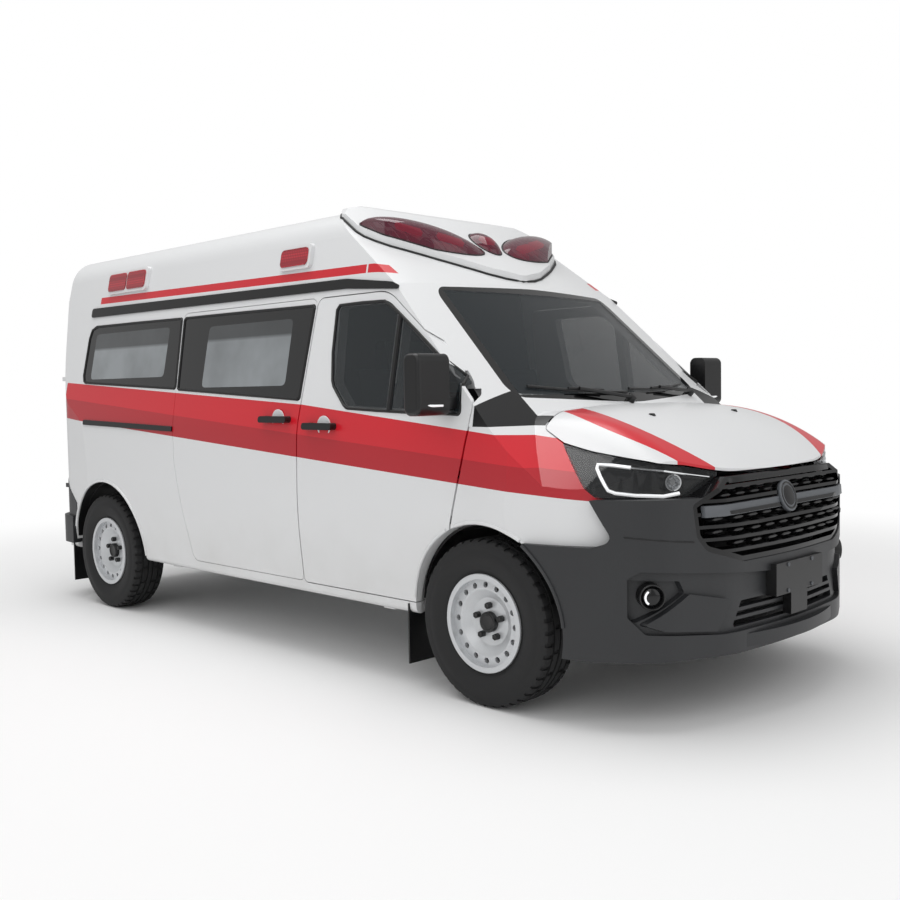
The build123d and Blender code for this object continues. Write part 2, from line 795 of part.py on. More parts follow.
# Rear doors: hinge axis outside the corner, door lugs and body lugs
REAR_HINGE = (-2514.0, -812.0)
REAR_HINGE_Z = (760.0, 1500.0)
REAR_PIN_R = 8.0
REAR_EYE_R = 15.0
LUG = 30.0
LUG_GAP = 1.0
LUG_REACH = 95.0
rear_x, rear_y = REAR_HINGE
right_rear_glass = [(-a, b, r) for a, b, r in REAR_GLASS]
rear_glass = keep(glass_shell, end_prism(right_rear_glass, high=REAR_DOOR_X))
rear_panel = cut(
    keep(wall, end_prism(right_rear, high=REAR_DOOR_X, inset=PANEL_GAP)),
    rear_glass,
    end_prism(right_rear_glass, high=REAR_DOOR_X, inset=GLASS_LAP),
)
door_lugs = []
body_lugs = []
for hinge_z in REAR_HINGE_Z:
    with BuildPart() as lug:
        add(rod((rear_x, rear_y, hinge_z), (rear_x, rear_y, hinge_z + LUG), REAR_EYE_R))
        lug_high = (rear_x + REAR_EYE_R, rear_y + LUG_REACH, hinge_z + LUG)
        add(block((rear_x - REAR_EYE_R, rear_y, hinge_z), lug_high))
        add(rod((rear_x, rear_y, hinge_z - LUG), (rear_x, rear_y, hinge_z + LUG), REAR_PIN_R))
        add(skin, mode=Mode.SUBTRACT)
    door_lugs.append(lug.part)
    with BuildPart() as lug:
        add(rod((rear_x, rear_y, hinge_z - LUG), (rear_x, rear_y, hinge_z - LUG_GAP), REAR_EYE_R))
        add(
            block(
                (rear_x - REAR_EYE_R, rear_y - LUG_REACH / 2, hinge_z - LUG),
                (rear_x + LUG_REACH, rear_y, hinge_z - LUG_GAP),
            )
        )
        add(rod((rear_x, rear_y, 0), (rear_x, rear_y, FAR), REAR_PIN_R + PIN_CLEARANCE), mode=Mode.SUBTRACT)
        add(outer, mode=Mode.SUBTRACT)
    body_lugs.append(lug.part)
rear_door = fuse(rear_panel, *door_lugs)
rear_lugs = fuse(*body_lugs)

# Bonnet: hinge axis near its rear edge, pockets, pins and brackets
BONNET_HINGE = (1790.0, 1266.0)
BONNET_HINGE_Y = 300.0
BONNET_REAR_GAP = 10.0
BRACKET = 12.0
BRACKET_POCKET = 22.0
BRACKET_BACK = 100.0
BRACKET_FORE = 24.0
BRACKET_LOW_Z = 1120.0
BRACKET_DEPTH = 50.0
POCKET_ROOF = 1.5
hinge_x, hinge_z = BONNET_HINGE
bonnet_panel = cut(
    keep(wall, side_prism(BONNET_SIDE, inset=PANEL_GAP)),
    block((0, -FAR, 0), (BONNET_SIDE[0][0] + BONNET_REAR_GAP, FAR, FAR)),
)
bonnet_pockets = []
bonnet_pins = []
brackets = []
for hinge_y in (-BONNET_HINGE_Y, BONNET_HINGE_Y):
    bonnet_pockets.append(
        block(
            (hinge_x - BRACKET_BACK, hinge_y - BRACKET_POCKET, 0),
            (hinge_x + BRACKET_FORE, hinge_y + BRACKET_POCKET, hinge_z + HINGE_EYE_R + POCKET_ROOF),
        )
    )
    bonnet_pins.append(
        rod(
            (hinge_x, hinge_y - BRACKET_POCKET - HINGE_HALF, hinge_z),
            (hinge_x, hinge_y + BRACKET_POCKET + HINGE_HALF, hinge_z),
            HINGE_PIN_R,
        )
    )
    with BuildPart() as bracket:
        eye_start = (hinge_x, hinge_y - BRACKET / 2, hinge_z)
        add(rod(eye_start, (hinge_x, hinge_y + BRACKET / 2, hinge_z), HINGE_EYE_R))
        add(
            block(
                (hinge_x - HINGE_EYE_R, hinge_y - BRACKET / 2, BRACKET_LOW_Z),
                (hinge_x + HINGE_EYE_R, hinge_y + BRACKET / 2, hinge_z),
            )
        )
        add(
            block(
                (FIREWALL_X + FIREWALL, hinge_y - BRACKET / 2, BRACKET_LOW_Z - BRACKET_DEPTH),
                (hinge_x + HINGE_EYE_R, hinge_y + BRACKET / 2, BRACKET_LOW_Z + HINGE_EYE_R),
            )
        )
        bore = rod((hinge_x, -FAR, hinge_z), (hinge_x, FAR, hinge_z), HINGE_PIN_R + PIN_CLEARANCE)
        add(bore, mode=Mode.SUBTRACT)
    brackets.append(bracket.part)
bonnet = fuse(cut(bonnet_panel, *bonnet_pockets), *bonnet_pins)
bonnet_brackets = fuse(*brackets)

# Wheels and tyres: profile rows of (across the wheel, radius, corner radius)
BEAD_R = 205.0
RIM_SEAT_R = 204.7
STUB_R = 30.0
TYRE_HALF = [
    (84.0, BEAD_R, 0.0),
    (TYRE_WIDTH / 2, 290.0, 0.0),
    (91.0, TYRE_R, 0.0),
]
RIM_ROWS = [
    (-98.0, 190.0, 0.0),
    (98.0, 190.0, 0.0),
    (98.0, 214.0, 3.0),
    (88.0, 214.0, 0.0),
    (86.0, RIM_SEAT_R, 0.0),
    (-86.0, RIM_SEAT_R, 0.0),
    (-88.0, 214.0, 0.0),
    (-98.0, 214.0, 3.0),
]
DISC_ROWS = [
    (18.0, STUB_R + PIN_CLEARANCE, 0.0),
    (44.0, STUB_R + PIN_CLEARANCE, 0.0),
    (44.0, 104.0, 12.0),
    (74.0, 146.0, 14.0),
    (70.0, 192.0, 0.0),
    (54.0, 192.0, 0.0),
    (58.0, 150.0, 10.0),
    (18.0, 112.0, 12.0),
]
HOLES = 16
HOLE_R = 13.0
HOLE_RING_R = 165.0
NUTS = 5
NUT_R = 11.0
NUT_RING_R = 72.0
NUT_PROUD = 20.0
NUT_ROOT = 1.0
CAP_R = 42.0
CAP_PROUD = 16.0
DISC_FACE = DISC_ROWS[1][0]


def turned(rows):
    """A ring turned about the wheel's own axis from half-section rows."""
    with BuildPart() as ring:
        with BuildSketch(Plane.YZ):
            with BuildLine():
                outline(rows)
            make_face()
        revolve(axis=Axis.Y)
    return ring.part


tyre_form = turned([*TYRE_HALF, *[(-a, b, r) for a, b, r in reversed(TYRE_HALF)]])
rim_parts = [turned(RIM_ROWS), turned(DISC_ROWS)]
rim_holes = []
for i in range(HOLES):
    spot = Vector(HOLE_RING_R, 0, 0).rotate(Axis.Y, 360 / HOLES * i)
    rim_holes.append(rod((spot.X, 0, spot.Z), (spot.X, TYRE_WIDTH, spot.Z), HOLE_R))
for i in range(NUTS):
    spot = Vector(0, 0, NUT_RING_R).rotate(Axis.Y, 360 / NUTS * i)
    rim_parts.append(rod((spot.X, DISC_FACE - NUT_ROOT, spot.Z), (spot.X, DISC_FACE + NUT_PROUD, spot.Z), NUT_R))
with BuildPart() as cap:
    add(rod((0, DISC_FACE, 0), (0, DISC_FACE + CAP_PROUD, 0), CAP_R))
    fillet(cap.edges().sort_by(Axis.Y)[-1], CAP_PROUD / 2)
rim_form = cut(fuse(*rim_parts, cap.part), *rim_holes)

# Front knuckles, suspension arms, rear axle and springs
KINGPIN_R = 15.0
KINGPIN_Z = (230.0, Z_FLOOR_UNDER)
UPRIGHT = (45.0, 35.0, 31.0)
ARM_EYE_R = 28.0
ARM_HALF_Z = 14.0
ARM_HALF_X = 22.0
ARM_FOOT = 40.0
SUBFRAME = ((1480.0, -470.0, 230.0), (1640.0, 470.0, 310.0))
ARM_END_Y = 470.0
AXLE_R = 42.0
AXLE_END_Y = 730.0
SPRING_Y = (470.0, 530.0)
SPRING_LENGTH = 1300.0
SPRING_THICK = 24.0
RAIL_Y = (370.0, 440.0)
RAIL_Z = (330.0, Z_FLOOR_UNDER)
RAIL_X = (-2400.0, 2380.0)
ENGINE = ((1720.0, -230.0, RAIL_Z[1]), (2180.0, 230.0, 960.0))
CROSS_X = (1900.0, 2000.0)
RADIATOR = ((2300.0, -420.0, RAIL_Z[1]), (2350.0, 420.0, 880.0))
wheel_centre_y = HALF_TRACK
stub_end_y = wheel_centre_y + DISC_FACE - SEAT_GAP
low_eye_z = KINGPIN_Z[0] + ARM_HALF_Z
high_eye_z = KINGPIN_Z[1] - ARM_HALF_Z
with BuildPart() as knuckle_left:
    add(rod((X_FRONT_AXLE, KINGPIN_Y, KINGPIN_Z[0]), (X_FRONT_AXLE, KINGPIN_Y, KINGPIN_Z[1]), KINGPIN_R))
    add(
        block(
            (X_FRONT_AXLE - UPRIGHT[0], KINGPIN_Y - UPRIGHT[1], WHEEL_Z - UPRIGHT[2]),
            (X_FRONT_AXLE + UPRIGHT[0], KINGPIN_Y + UPRIGHT[1], WHEEL_Z + UPRIGHT[2]),
        )
    )
    add(rod((X_FRONT_AXLE, KINGPIN_Y, WHEEL_Z), (X_FRONT_AXLE, stub_end_y, WHEEL_Z), STUB_R))
with BuildPart() as front_suspension:
    add(block(*SUBFRAME))
    for sign in (-1, 1):
        for eye_z in (low_eye_z, high_eye_z):
            low_z = eye_z - ARM_HALF_Z
            high_z = eye_z + ARM_HALF_Z
            eye_low = (X_FRONT_AXLE, sign * KINGPIN_Y, low_z)
            add(rod(eye_low, (X_FRONT_AXLE, sign * KINGPIN_Y, high_z), ARM_EYE_R))
            ends = sorted((sign * (ARM_END_Y - ARM_FOOT), sign * KINGPIN_Y))
            arm_low = (X_FRONT_AXLE - ARM_HALF_X, ends[0], low_z)
            add(block(arm_low, (X_FRONT_AXLE + ARM_HALF_X, ends[1], high_z)))
        ends = sorted((sign * (ARM_END_Y - ARM_FOOT), sign * ARM_END_Y))
        add(block((SUBFRAME[0][0], ends[0], SUBFRAME[0][2]), (SUBFRAME[1][0], ends[1], KINGPIN_Z[1])))
        bore_low = (X_FRONT_AXLE, sign * KINGPIN_Y, 0)
        bore_high = (X_FRONT_AXLE, sign * KINGPIN_Y, FAR)
        add(rod(bore_low, bore_high, KINGPIN_R + PIN_CLEARANCE), mode=Mode.SUBTRACT)
with BuildPart() as rear_axle:
    add(rod((X_REAR_AXLE, -AXLE_END_Y, WHEEL_Z), (X_REAR_AXLE, AXLE_END_Y, WHEEL_Z), AXLE_R))
    add(rod((X_REAR_AXLE, -stub_end_y, WHEEL_Z), (X_REAR_AXLE, stub_end_y, WHEEL_Z), STUB_R))
rails = []
springs = []
for sign in (-1, 1):
    ends = sorted((sign * RAIL_Y[0], sign * RAIL_Y[1]))
    rails.append(block((RAIL_X[0], ends[0], RAIL_Z[0]), (RAIL_X[1], ends[1], RAIL_Z[1])))
    ends = sorted((sign * SPRING_Y[0], sign * SPRING_Y[1]))
    springs.append(
        block(
            (X_REAR_AXLE - SPRING_LENGTH / 2, ends[0], Z_FLOOR_UNDER - SPRING_THICK),
            (X_REAR_AXLE + SPRING_LENGTH / 2, ends[1], Z_FLOOR_UNDER),
        )
    )
axle_notch = rod((X_REAR_AXLE, -FAR, WHEEL_Z), (X_REAR_AXLE, FAR, WHEEL_Z), AXLE_R + SEAT_GAP)
cross = block((CROSS_X[0], -RAIL_Y[0], RAIL_Z[0]), (CROSS_X[1], RAIL_Y[0], RAIL_Z[1]))
frame_rails = cut(fuse(*rails, cross), front_suspension.part, axle_notch)
leaf_springs = cut(fuse(*springs), axle_notch)

# Arch liners; the front ones also clear the steered tyres and the door arms
LINER_HOLE_R = 190.0
liner_rings = []
liner_holes = []
for arch_name, arch_x, arch_r, arch_y in ARCHES:
    ring = rod((arch_x, -UNDER_Y - WALL, WHEEL_Z), (arch_x, -arch_y, WHEEL_Z), arch_r)
    well = rod((arch_x, -FAR, WHEEL_Z), (arch_x, -arch_y - LINER, WHEEL_Z), arch_r - LINER)
    liner_rings.append(
        cut(
            fuse(ring, steer_room(LINER)) if arch_name == "front" else ring,
            fuse(well, steer_room(0.0)) if arch_name == "front" else well,
            block((-FAR, -FAR, 0), (FAR, FAR, Z_SILL)),
            rear_bumper_form,
        )
    )
    axle_x = arch_x - ARCH_SHIFT
    liner_holes.append(rod((axle_x, -arch_y - LINER, WHEEL_Z), (axle_x, -arch_y, WHEEL_Z), LINER_HOLE_R))
arm_notch = block(
    (door_x - POCKET_BACK, ARM_Y[0] - PANEL_GAP, DOOR_HINGE_Z[0] - POCKET_HALF),
    (FIREWALL_X + PANEL_GAP, ARM_Y[1] + PANEL_GAP, FAR),
)
liner_right = cut(keep(fuse(*liner_rings), section_prism(WALL + PANEL_GAP)), *liner_holes, arm_notch)
arch_liners = fuse(liner_right, flip(liner_right))

# Cab: dashboard, steering wheel, seats and partition
DASH = [
    (1180.0, 960.0, 40.0),
    (1180.0, 1120.0, 60.0),
    (1290.0, 1190.0, 60.0),
    (FIREWALL_X, 1190.0, 0.0),
    (FIREWALL_X, 860.0, 0.0),
]
DASH_HALF_Y = 820.0
WHEEL_SPOT = (1060.0, 400.0, 1090.0)
STEER_R = 195.0
STEER_TUBE = 15.0
STEER_SPOKE = 45.0
STEER_BOSS_R = 60.0
STEER_COLUMN_R = 30.0
STEER_LEAN = 62.0
SEAT_BASE = [
    (480.0, Z_FLOOR_TOP, 0.0),
    (900.0, Z_FLOOR_TOP, 0.0),
    (960.0, 860.0, 50.0),
    (600.0, 900.0, 40.0),
    (480.0, 1480.0, 40.0),
    (380.0, 1480.0, 40.0),
    (440.0, 860.0, 60.0),
]
SEATS = [
    # seat name, nearer side, farther side
    ("driver", 180.0, 680.0),
    ("passenger", -720.0, -130.0),
]
PARTITION = (246.0, 276.0)
PARTITION_WINDOW = [
    (420.0, 1250.0, 40.0),
    (420.0, 1640.0, 40.0),
]
dash_block = side_prism(DASH, low=-DASH_HALF_Y, high=DASH_HALF_Y)
steer_plane = Plane(origin=WHEEL_SPOT, z_dir=Vector(-1, 0, 0).rotate(Axis.Y, 90 - STEER_LEAN))
with BuildPart(steer_plane) as steering_wheel:
    Torus(STEER_R, STEER_TUBE)
    Box(2 * STEER_R, STEER_SPOKE, STEER_TUBE)
    Cylinder(STEER_BOSS_R, 2 * STEER_TUBE)
    with Locations((0, 0, -STEER_R / 2)):
        Cylinder(STEER_COLUMN_R, STEER_R)
dashboard = cut(keep(dash_block, inner), steering_wheel.part)
seats = fuse(*[side_prism(SEAT_BASE, low=low, high=high) for name, low, high in SEATS])
partition = cut(
    keep(body_form(WALL + SEAT_GAP), block((PARTITION[0], -FAR, Z_FLOOR_TOP), (PARTITION[1], FAR, FAR))),
    end_prism(halves(PARTITION_WINDOW)),
)

# Grille: frame, bars and the plate bracket
GRILLE_FRAME = 22.0
GRILLE_BACK_X = 2290.0
GRILLE_BARS = 6
GRILLE_BAR_Z = (705.0, 960.0)
GRILLE_BAR = 14.0
GRILLE_SET_BACK = 6.0
GRILLE_DEPTH = 70.0
GRILLE_LEAN = [
    (0.0, 500.0, 0.0),
    (2560.0, 500.0, 0.0),
    (2420.0, 1010.0, 0.0),
    (0.0, 1010.0, 0.0),
]
PLATE = ((2455.0, -207.0, 487.0), (2514.0, 207.0, 622.0))
PLATE_STEM = ((2455.0, -72.0, 392.0), (2510.0, 72.0, 487.0))
grille_ring = cut(
    end_prism(halves(GRILLE_OPENING), low=GRILLE_BACK_X, inset=SEAT_GAP),
    end_prism(halves(GRILLE_OPENING), low=0, inset=GRILLE_FRAME),
)
grille_bars = []
for i in range(GRILLE_BARS):
    bar_z = GRILLE_BAR_Z[0] + (GRILLE_BAR_Z[1] - GRILLE_BAR_Z[0]) * i / (GRILLE_BARS - 1)
    bar = block((GRILLE_BACK_X, -FAR, bar_z - GRILLE_BAR / 2), (FAR, FAR, bar_z + GRILLE_BAR / 2))
    opening = end_prism(halves(GRILLE_OPENING), low=GRILLE_BACK_X, inset=GRILLE_FRAME / 2)
    grille_bars.append(keep(opening, bar))
grille = cut(
    keep(
        fuse(grille_ring, *grille_bars),
        side_prism(GRILLE_LEAN),
        plan_prism(front_rows, 0, FAR / 2, GRILLE_SET_BACK),
    ),
    plan_prism(front_rows, 0, FAR / 2, GRILLE_DEPTH),
    bonnet_zone,
)
plate_form = fuse(block(*PLATE), block(*PLATE_STEM))
plate_back = plan_prism(front_rows, 0, FAR / 2, RECESS_DEPTH)
plate_bracket = cut(plate_form, plate_back, front_bumper, *plate_holes)

# Roof lamp pod, side lamps, roof strips and slide rail
POD_PLAN = [
    (320.0, 660.0, 40.0),
    (400.0, 740.0, 60.0),
    (545.0, 748.0, 60.0),
    (640.0, 672.0, 100.0),
    (792.0, 445.0, 200.0),
    (920.0, 208.0, 120.0),
]
POD_NOSE_X = 985.0
POD_NOSE_R = 160.0
POD_LIFT = (18.0, 0.0, 26.0)
POD_RIM = 14.0
ROOF_SLOPE = (0.57, 0.0, 0.82)
DOMES = [
    # place on the roof slope, direction, half length, half width, height
    ((660.0, -397.0, 2114.0), (0.44, 0.9, 0.0), 372.0, 132.0, 100.0),
    ((690.0, 0.0, 2115.0), (1.0, 0.0, 0.0), 125.0, 85.0, 78.0),
    ((660.0, 397.0, 2114.0), (0.44, -0.9, 0.0), 372.0, 132.0, 100.0),
]
BALL_R = 100.0
pod_rows = both_halves(POD_PLAN, (POD_NOSE_X, 0.0, POD_NOSE_R))
roof_lamp_base = cut(keep(plan_prism(pod_rows, 0, FAR / 2), outer.moved(Location(POD_LIFT))), outer)
domes = []
for spot, along, half_length, half_width, height in DOMES:
    with BuildPart() as dome:
        Sphere(BALL_R)
        scale(by=(half_length / BALL_R, half_width / BALL_R, height / BALL_R))
    slope = Plane(origin=spot, x_dir=along, z_dir=ROOF_SLOPE)
    domes.append(dome.part.moved(slope.location))
roof_lamp_lenses = cut(
    keep(fuse(*domes), plan_prism(pod_rows, 0, FAR / 2, POD_RIM)),
    roof_lamp_base,
    outer,
)

SIDE_LAMPS = [
    # rear end, front end, low edge, high edge
    (-1862.0, -1642.0, 2038.0, 2148.0),
    (-1626.0, -1406.0, 2038.0, 2148.0),
    (14.0, 242.0, 2022.0, 2114.0),
]
LAMP_BEZEL = 18.0
LAMP_PROUD = 30.0
BEZEL_PROUD = 24.0
LAMP_R = 24.0


def lamp_rows(rear, front, low, high, grow):
    """A rounded rectangle for a lamp on the roof side."""
    return [
        (rear - grow, low - grow, LAMP_R),
        (front + grow, low - grow, LAMP_R),
        (front + grow, high + grow, LAMP_R),
        (rear - grow, high + grow, LAMP_R),
    ]


lamp_shell = cut(section_prism(-LAMP_PROUD), section_prism())
bezel_shell = cut(section_prism(-BEZEL_PROUD), section_prism())
lenses = [keep(lamp_shell, side_prism(lamp_rows(*row, 0.0), high=0)) for row in SIDE_LAMPS]
bezels = [keep(bezel_shell, side_prism(lamp_rows(*row, LAMP_BEZEL), high=0)) for row in SIDE_LAMPS]
lenses_right = fuse(*lenses)
bezels_right = cut(fuse(*bezels), *[side_prism(lamp_rows(*row, 0.0), high=0) for row in SIDE_LAMPS])

ROOF_STRIP = [
    (-2080.0, 1884.0, 20.0),
    (560.0, 1872.0, 600.0),
    (1000.0, 1838.0, 10.0),
    (900.0, 1880.0, 60.0),
    (560.0, 1922.0, 300.0),
    (-2080.0, 1944.0, 20.0),
]
SLIDE_RAIL = [
    (-1990.0, 1178.0, 10.0),
    (-890.0, 1150.0, 5.0),
    (-890.0, 1180.0, 5.0),
    (-1990.0, 1210.0, 10.0),
]
trim_shell = cut(section_prism(-TRIM), section_prism())
roof_strip = keep(trim_shell, side_prism(ROOF_STRIP, high=0))
slide_rail = keep(trim_shell, side_prism(SLIDE_RAIL, high=0))

# Mudflaps
FLAPS = [
    # flap name, front face, rear face, low edge, high edge
    ("front", 1086.0, 1078.0, 110.0, 390.0),
    ("rear", -2236.0, -2244.0, 120.0, 400.0),
]
FLAP_Y = (760.0, 960.0)
flaps = []
for name, front, rear, low, high in FLAPS:
    flaps.append(block((rear, -FLAP_Y[1], low), (front, -FLAP_Y[0], high)))
flap_right = cut(fuse(*flaps), floor_pan, rear_bumper, sliding_door, front_door, side_right, liner_right)
mudflaps = fuse(flap_right, flip(flap_right))

ROOT_PIECES = {
    "roof": roof,
    "floor_pan": floor_pan,
    "cowl": fuse(cowl, bonnet_brackets, door_arms, flip(door_arms)),
    "side_right": fuse(side_right, rear_lugs),
    "side_left": fuse(side_left, flip(rear_lugs)),
    "windscreen": windscreen,
    "side_glass": fuse(quarter_glass, flip(quarter_glass), flip(sliding_glass)),
    "sliding_door": sliding_door,
    "sliding_door_glass": sliding_glass,
    "sail_panels": fuse(sail, flip(sail)),
    "tail_lamps": fuse(tail_lamp, flip(tail_lamp)),
    "wings": fuse(wing_right, flip(wing_right)),
    "headlamps": fuse(headlamp, flip(headlamp)),
    "front_bumper": front_bumper,
    "rear_bumper": rear_bumper,
    "grille": grille,
    "plate_bracket": plate_bracket,
    "front_suspension": front_suspension.part,
    "rear_axle": fuse(rear_axle.part, leaf_springs),
    "frame_rails": frame_rails,
    "engine": block(*ENGINE),
    "radiator": block(*RADIATOR),
    "arch_liners": arch_liners,
    "dashboard": dashboard,
    "steering_wheel": steering_wheel.part,
    "seats": seats,
    "partition": partition,
    "roof_lamp_base": roof_lamp_base,
    "roof_lamp_lenses": roof_lamp_lenses,
    "side_lamp_bezels": fuse(bezels_right, flip(bezels_right)),
    "side_lamp_lenses": fuse(lenses_right, flip(lenses_right)),
    "side_trims": fuse(roof_strip, flip(roof_strip), slide_rail, handles["sliding_door"]),
    "mudflaps": mudflaps,
}
for name, shape in ROOT_PIECES.items():
    save(shape, name)

RIGHT_PIECES = {
    "front_door": front_door,
    "front_door_glass": door_glass,
    "front_door_fittings": fuse(handles["front_door"], door_mirror),
    "rear_door": rear_door,
    "rear_door_glass": rear_glass,
    "knuckle": flip(knuckle_left.part),
}
for name, shape in RIGHT_PIECES.items():
    save(shape, f"{name}_right")
    save(flip(shape), f"{name}_left")
save(bonnet, "bonnet")

WHEELS = [
    # wheel name, axle position, side
    ("front_left", X_FRONT_AXLE, 1),
    ("front_right", X_FRONT_AXLE, -1),
    ("rear_left", X_REAR_AXLE, 1),
    ("rear_right", X_REAR_AXLE, -1),
]
for name, axle_x, side in WHEELS:
    spot = Location((axle_x, side * HALF_TRACK, WHEEL_Z))
    for kind, form in (("tyre", tyre_form), ("rim", rim_form)):
        save((form if side > 0 else flip(form)).moved(spot), f"{kind}_{name}")
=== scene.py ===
# %% [markdown]
# # A high-roof van ambulance
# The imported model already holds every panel, door and wheel in its true place, so this lesson
# never moves anything. It gives each panel its real finish and adds the detail that a plain
# solid lacks: tread, lamp insides, wipers, grille fins. Loading the frame comes first,
# because every later piece rides on one of its bodies.

# %% Load the frame
import json
import math

import bmesh
import bpy
from mathutils import Matrix, Vector

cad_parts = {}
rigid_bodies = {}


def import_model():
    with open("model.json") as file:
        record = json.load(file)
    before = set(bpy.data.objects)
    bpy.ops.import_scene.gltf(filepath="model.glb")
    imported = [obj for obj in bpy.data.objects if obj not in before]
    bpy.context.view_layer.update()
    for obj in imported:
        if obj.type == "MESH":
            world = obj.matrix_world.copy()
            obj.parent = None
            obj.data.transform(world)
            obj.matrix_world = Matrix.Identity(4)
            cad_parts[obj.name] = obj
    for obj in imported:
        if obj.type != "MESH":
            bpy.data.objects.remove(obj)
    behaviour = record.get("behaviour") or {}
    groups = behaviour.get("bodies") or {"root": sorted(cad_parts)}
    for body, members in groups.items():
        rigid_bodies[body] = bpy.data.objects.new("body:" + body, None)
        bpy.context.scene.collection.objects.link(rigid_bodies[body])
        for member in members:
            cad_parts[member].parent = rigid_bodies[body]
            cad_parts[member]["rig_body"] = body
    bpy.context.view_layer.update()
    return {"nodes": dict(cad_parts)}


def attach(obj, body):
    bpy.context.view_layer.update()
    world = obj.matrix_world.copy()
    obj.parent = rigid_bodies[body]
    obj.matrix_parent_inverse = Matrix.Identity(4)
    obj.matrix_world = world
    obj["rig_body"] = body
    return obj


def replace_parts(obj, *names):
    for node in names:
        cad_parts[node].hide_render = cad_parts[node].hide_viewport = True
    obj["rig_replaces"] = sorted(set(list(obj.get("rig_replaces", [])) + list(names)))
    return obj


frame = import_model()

nodes = frame["nodes"]

# %% [markdown]
# Colours are picked as sRGB hex values, the way a paint chart gives them, but shaders count in
# linear light. One function does that change. A second one adds a shader node, sets it and wires
# it, so that each material below reads as a short list of nodes. A kind such as "Math.ADD" names
# the node and its operation.


# %% Colour and node helpers
def colour(hex_value, alpha=1.0):
    parts = [int(hex_value[i:i + 2], 16) / 255 for i in (1, 3, 5)]
    linear = [p / 12.92 if p <= 0.04045 else ((p + 0.055) / 1.055) ** 2.4 for p in parts]
    return (*linear, alpha)


def add_node(tree, kind, inputs=(), output=0, **settings):
    kind, _, operation = kind.partition(".")
    node = tree.nodes.new(f"ShaderNode{kind}")
    if operation:
        node.operation = operation
    for key, value in settings.items():
        setattr(node, key, value)
    for key, value in inputs.items() if isinstance(inputs, dict) else enumerate(inputs):
        if isinstance(value, bpy.types.NodeSocket):
            tree.links.new(value, node.inputs[key])
        else:
            node.inputs[key].default_value = value
    return node.outputs[output]


def new_material(name, **sockets):
    material = bpy.data.materials.new(name)
    material.use_nodes = True
    shader = material.node_tree.nodes["Principled BSDF"]
    for key, value in sockets.items():
        shader.inputs[key.replace("_", " ")].default_value = value
    return material, material.node_tree, shader


def dress(material, *names):
    for name in names:
        nodes[name].data.materials.clear()
        nodes[name].data.materials.append(material)
    print(material.name, "on", len(names), "nodes")


# %% [markdown]
# The body is sprayed steel: white base coat under clear lacquer. What the eye reads as paint is
# a soft diffuse white with a thin sharp mirror on top and a very slight waviness called orange peel.
# Low down the white is painted greyer, mottled by noise, as painted shade. The red livery is drawn
# in the same material from the place on the vehicle, so that the band runs on unbroken across
# door, wing and side, and its lower part is painted a darker red as painted shade under its crease.
# The bonnet has its own two curved stripes, so the same function takes a flag for them.

# %% White paint with the red livery
WHITE, LOW_SHADE_GREY = "#DEDFE0", "#C9C9C7"
# the darker red is painted shade: the band's lower part, below its crease, is painted darker
RED, SHADED_RED = "#CC1626", "#B01020"
BUMP_REACH = 0.001
PEEL_MM, PEEL_DEPTH = 6.0, 0.012
# painted shade low down: the white turns greyer towards the bottom, mottled by noise
LOW_SHADE_CLOUD_MM, LOW_SHADE_MOST = 180.0, 0.8
LOW_SHADE_Z = (0.85, 0.35)
BAND_SIDE_Y, BAND_REAR_X = 0.70, -2.30
# lines along the side: fall per metre forward, height at the vehicle's middle
BAND_FOOT, BAND_SHADE = (0.0690, 1.061), (0.0750, 1.178)
BAND_TOP, BAND_TOP_FRONT = (0.0579, 1.323), (0.0972, 1.336)
ROOF_LINE_X = (-1.99, 1.12)
ROOF_LINE_Y = 0.775
ROOF_LINE_Z = (1.946, 1.989)
ROOF_LINE_FALL = 0.011
ROOF_LINE_GAP = (0.700, 0.006)  # place along, half width
ROOF_LINE_BEND = (0.70, 0.42)  # place along, how fast the line drops ahead of it
ROOF_LINE_TAPER_X = 0.75
STRIPE_X = 2.03
STRIPE_INNER, STRIPE_OUTER, STRIPE_OUTER_BOW = 0.588, 0.706, 0.8


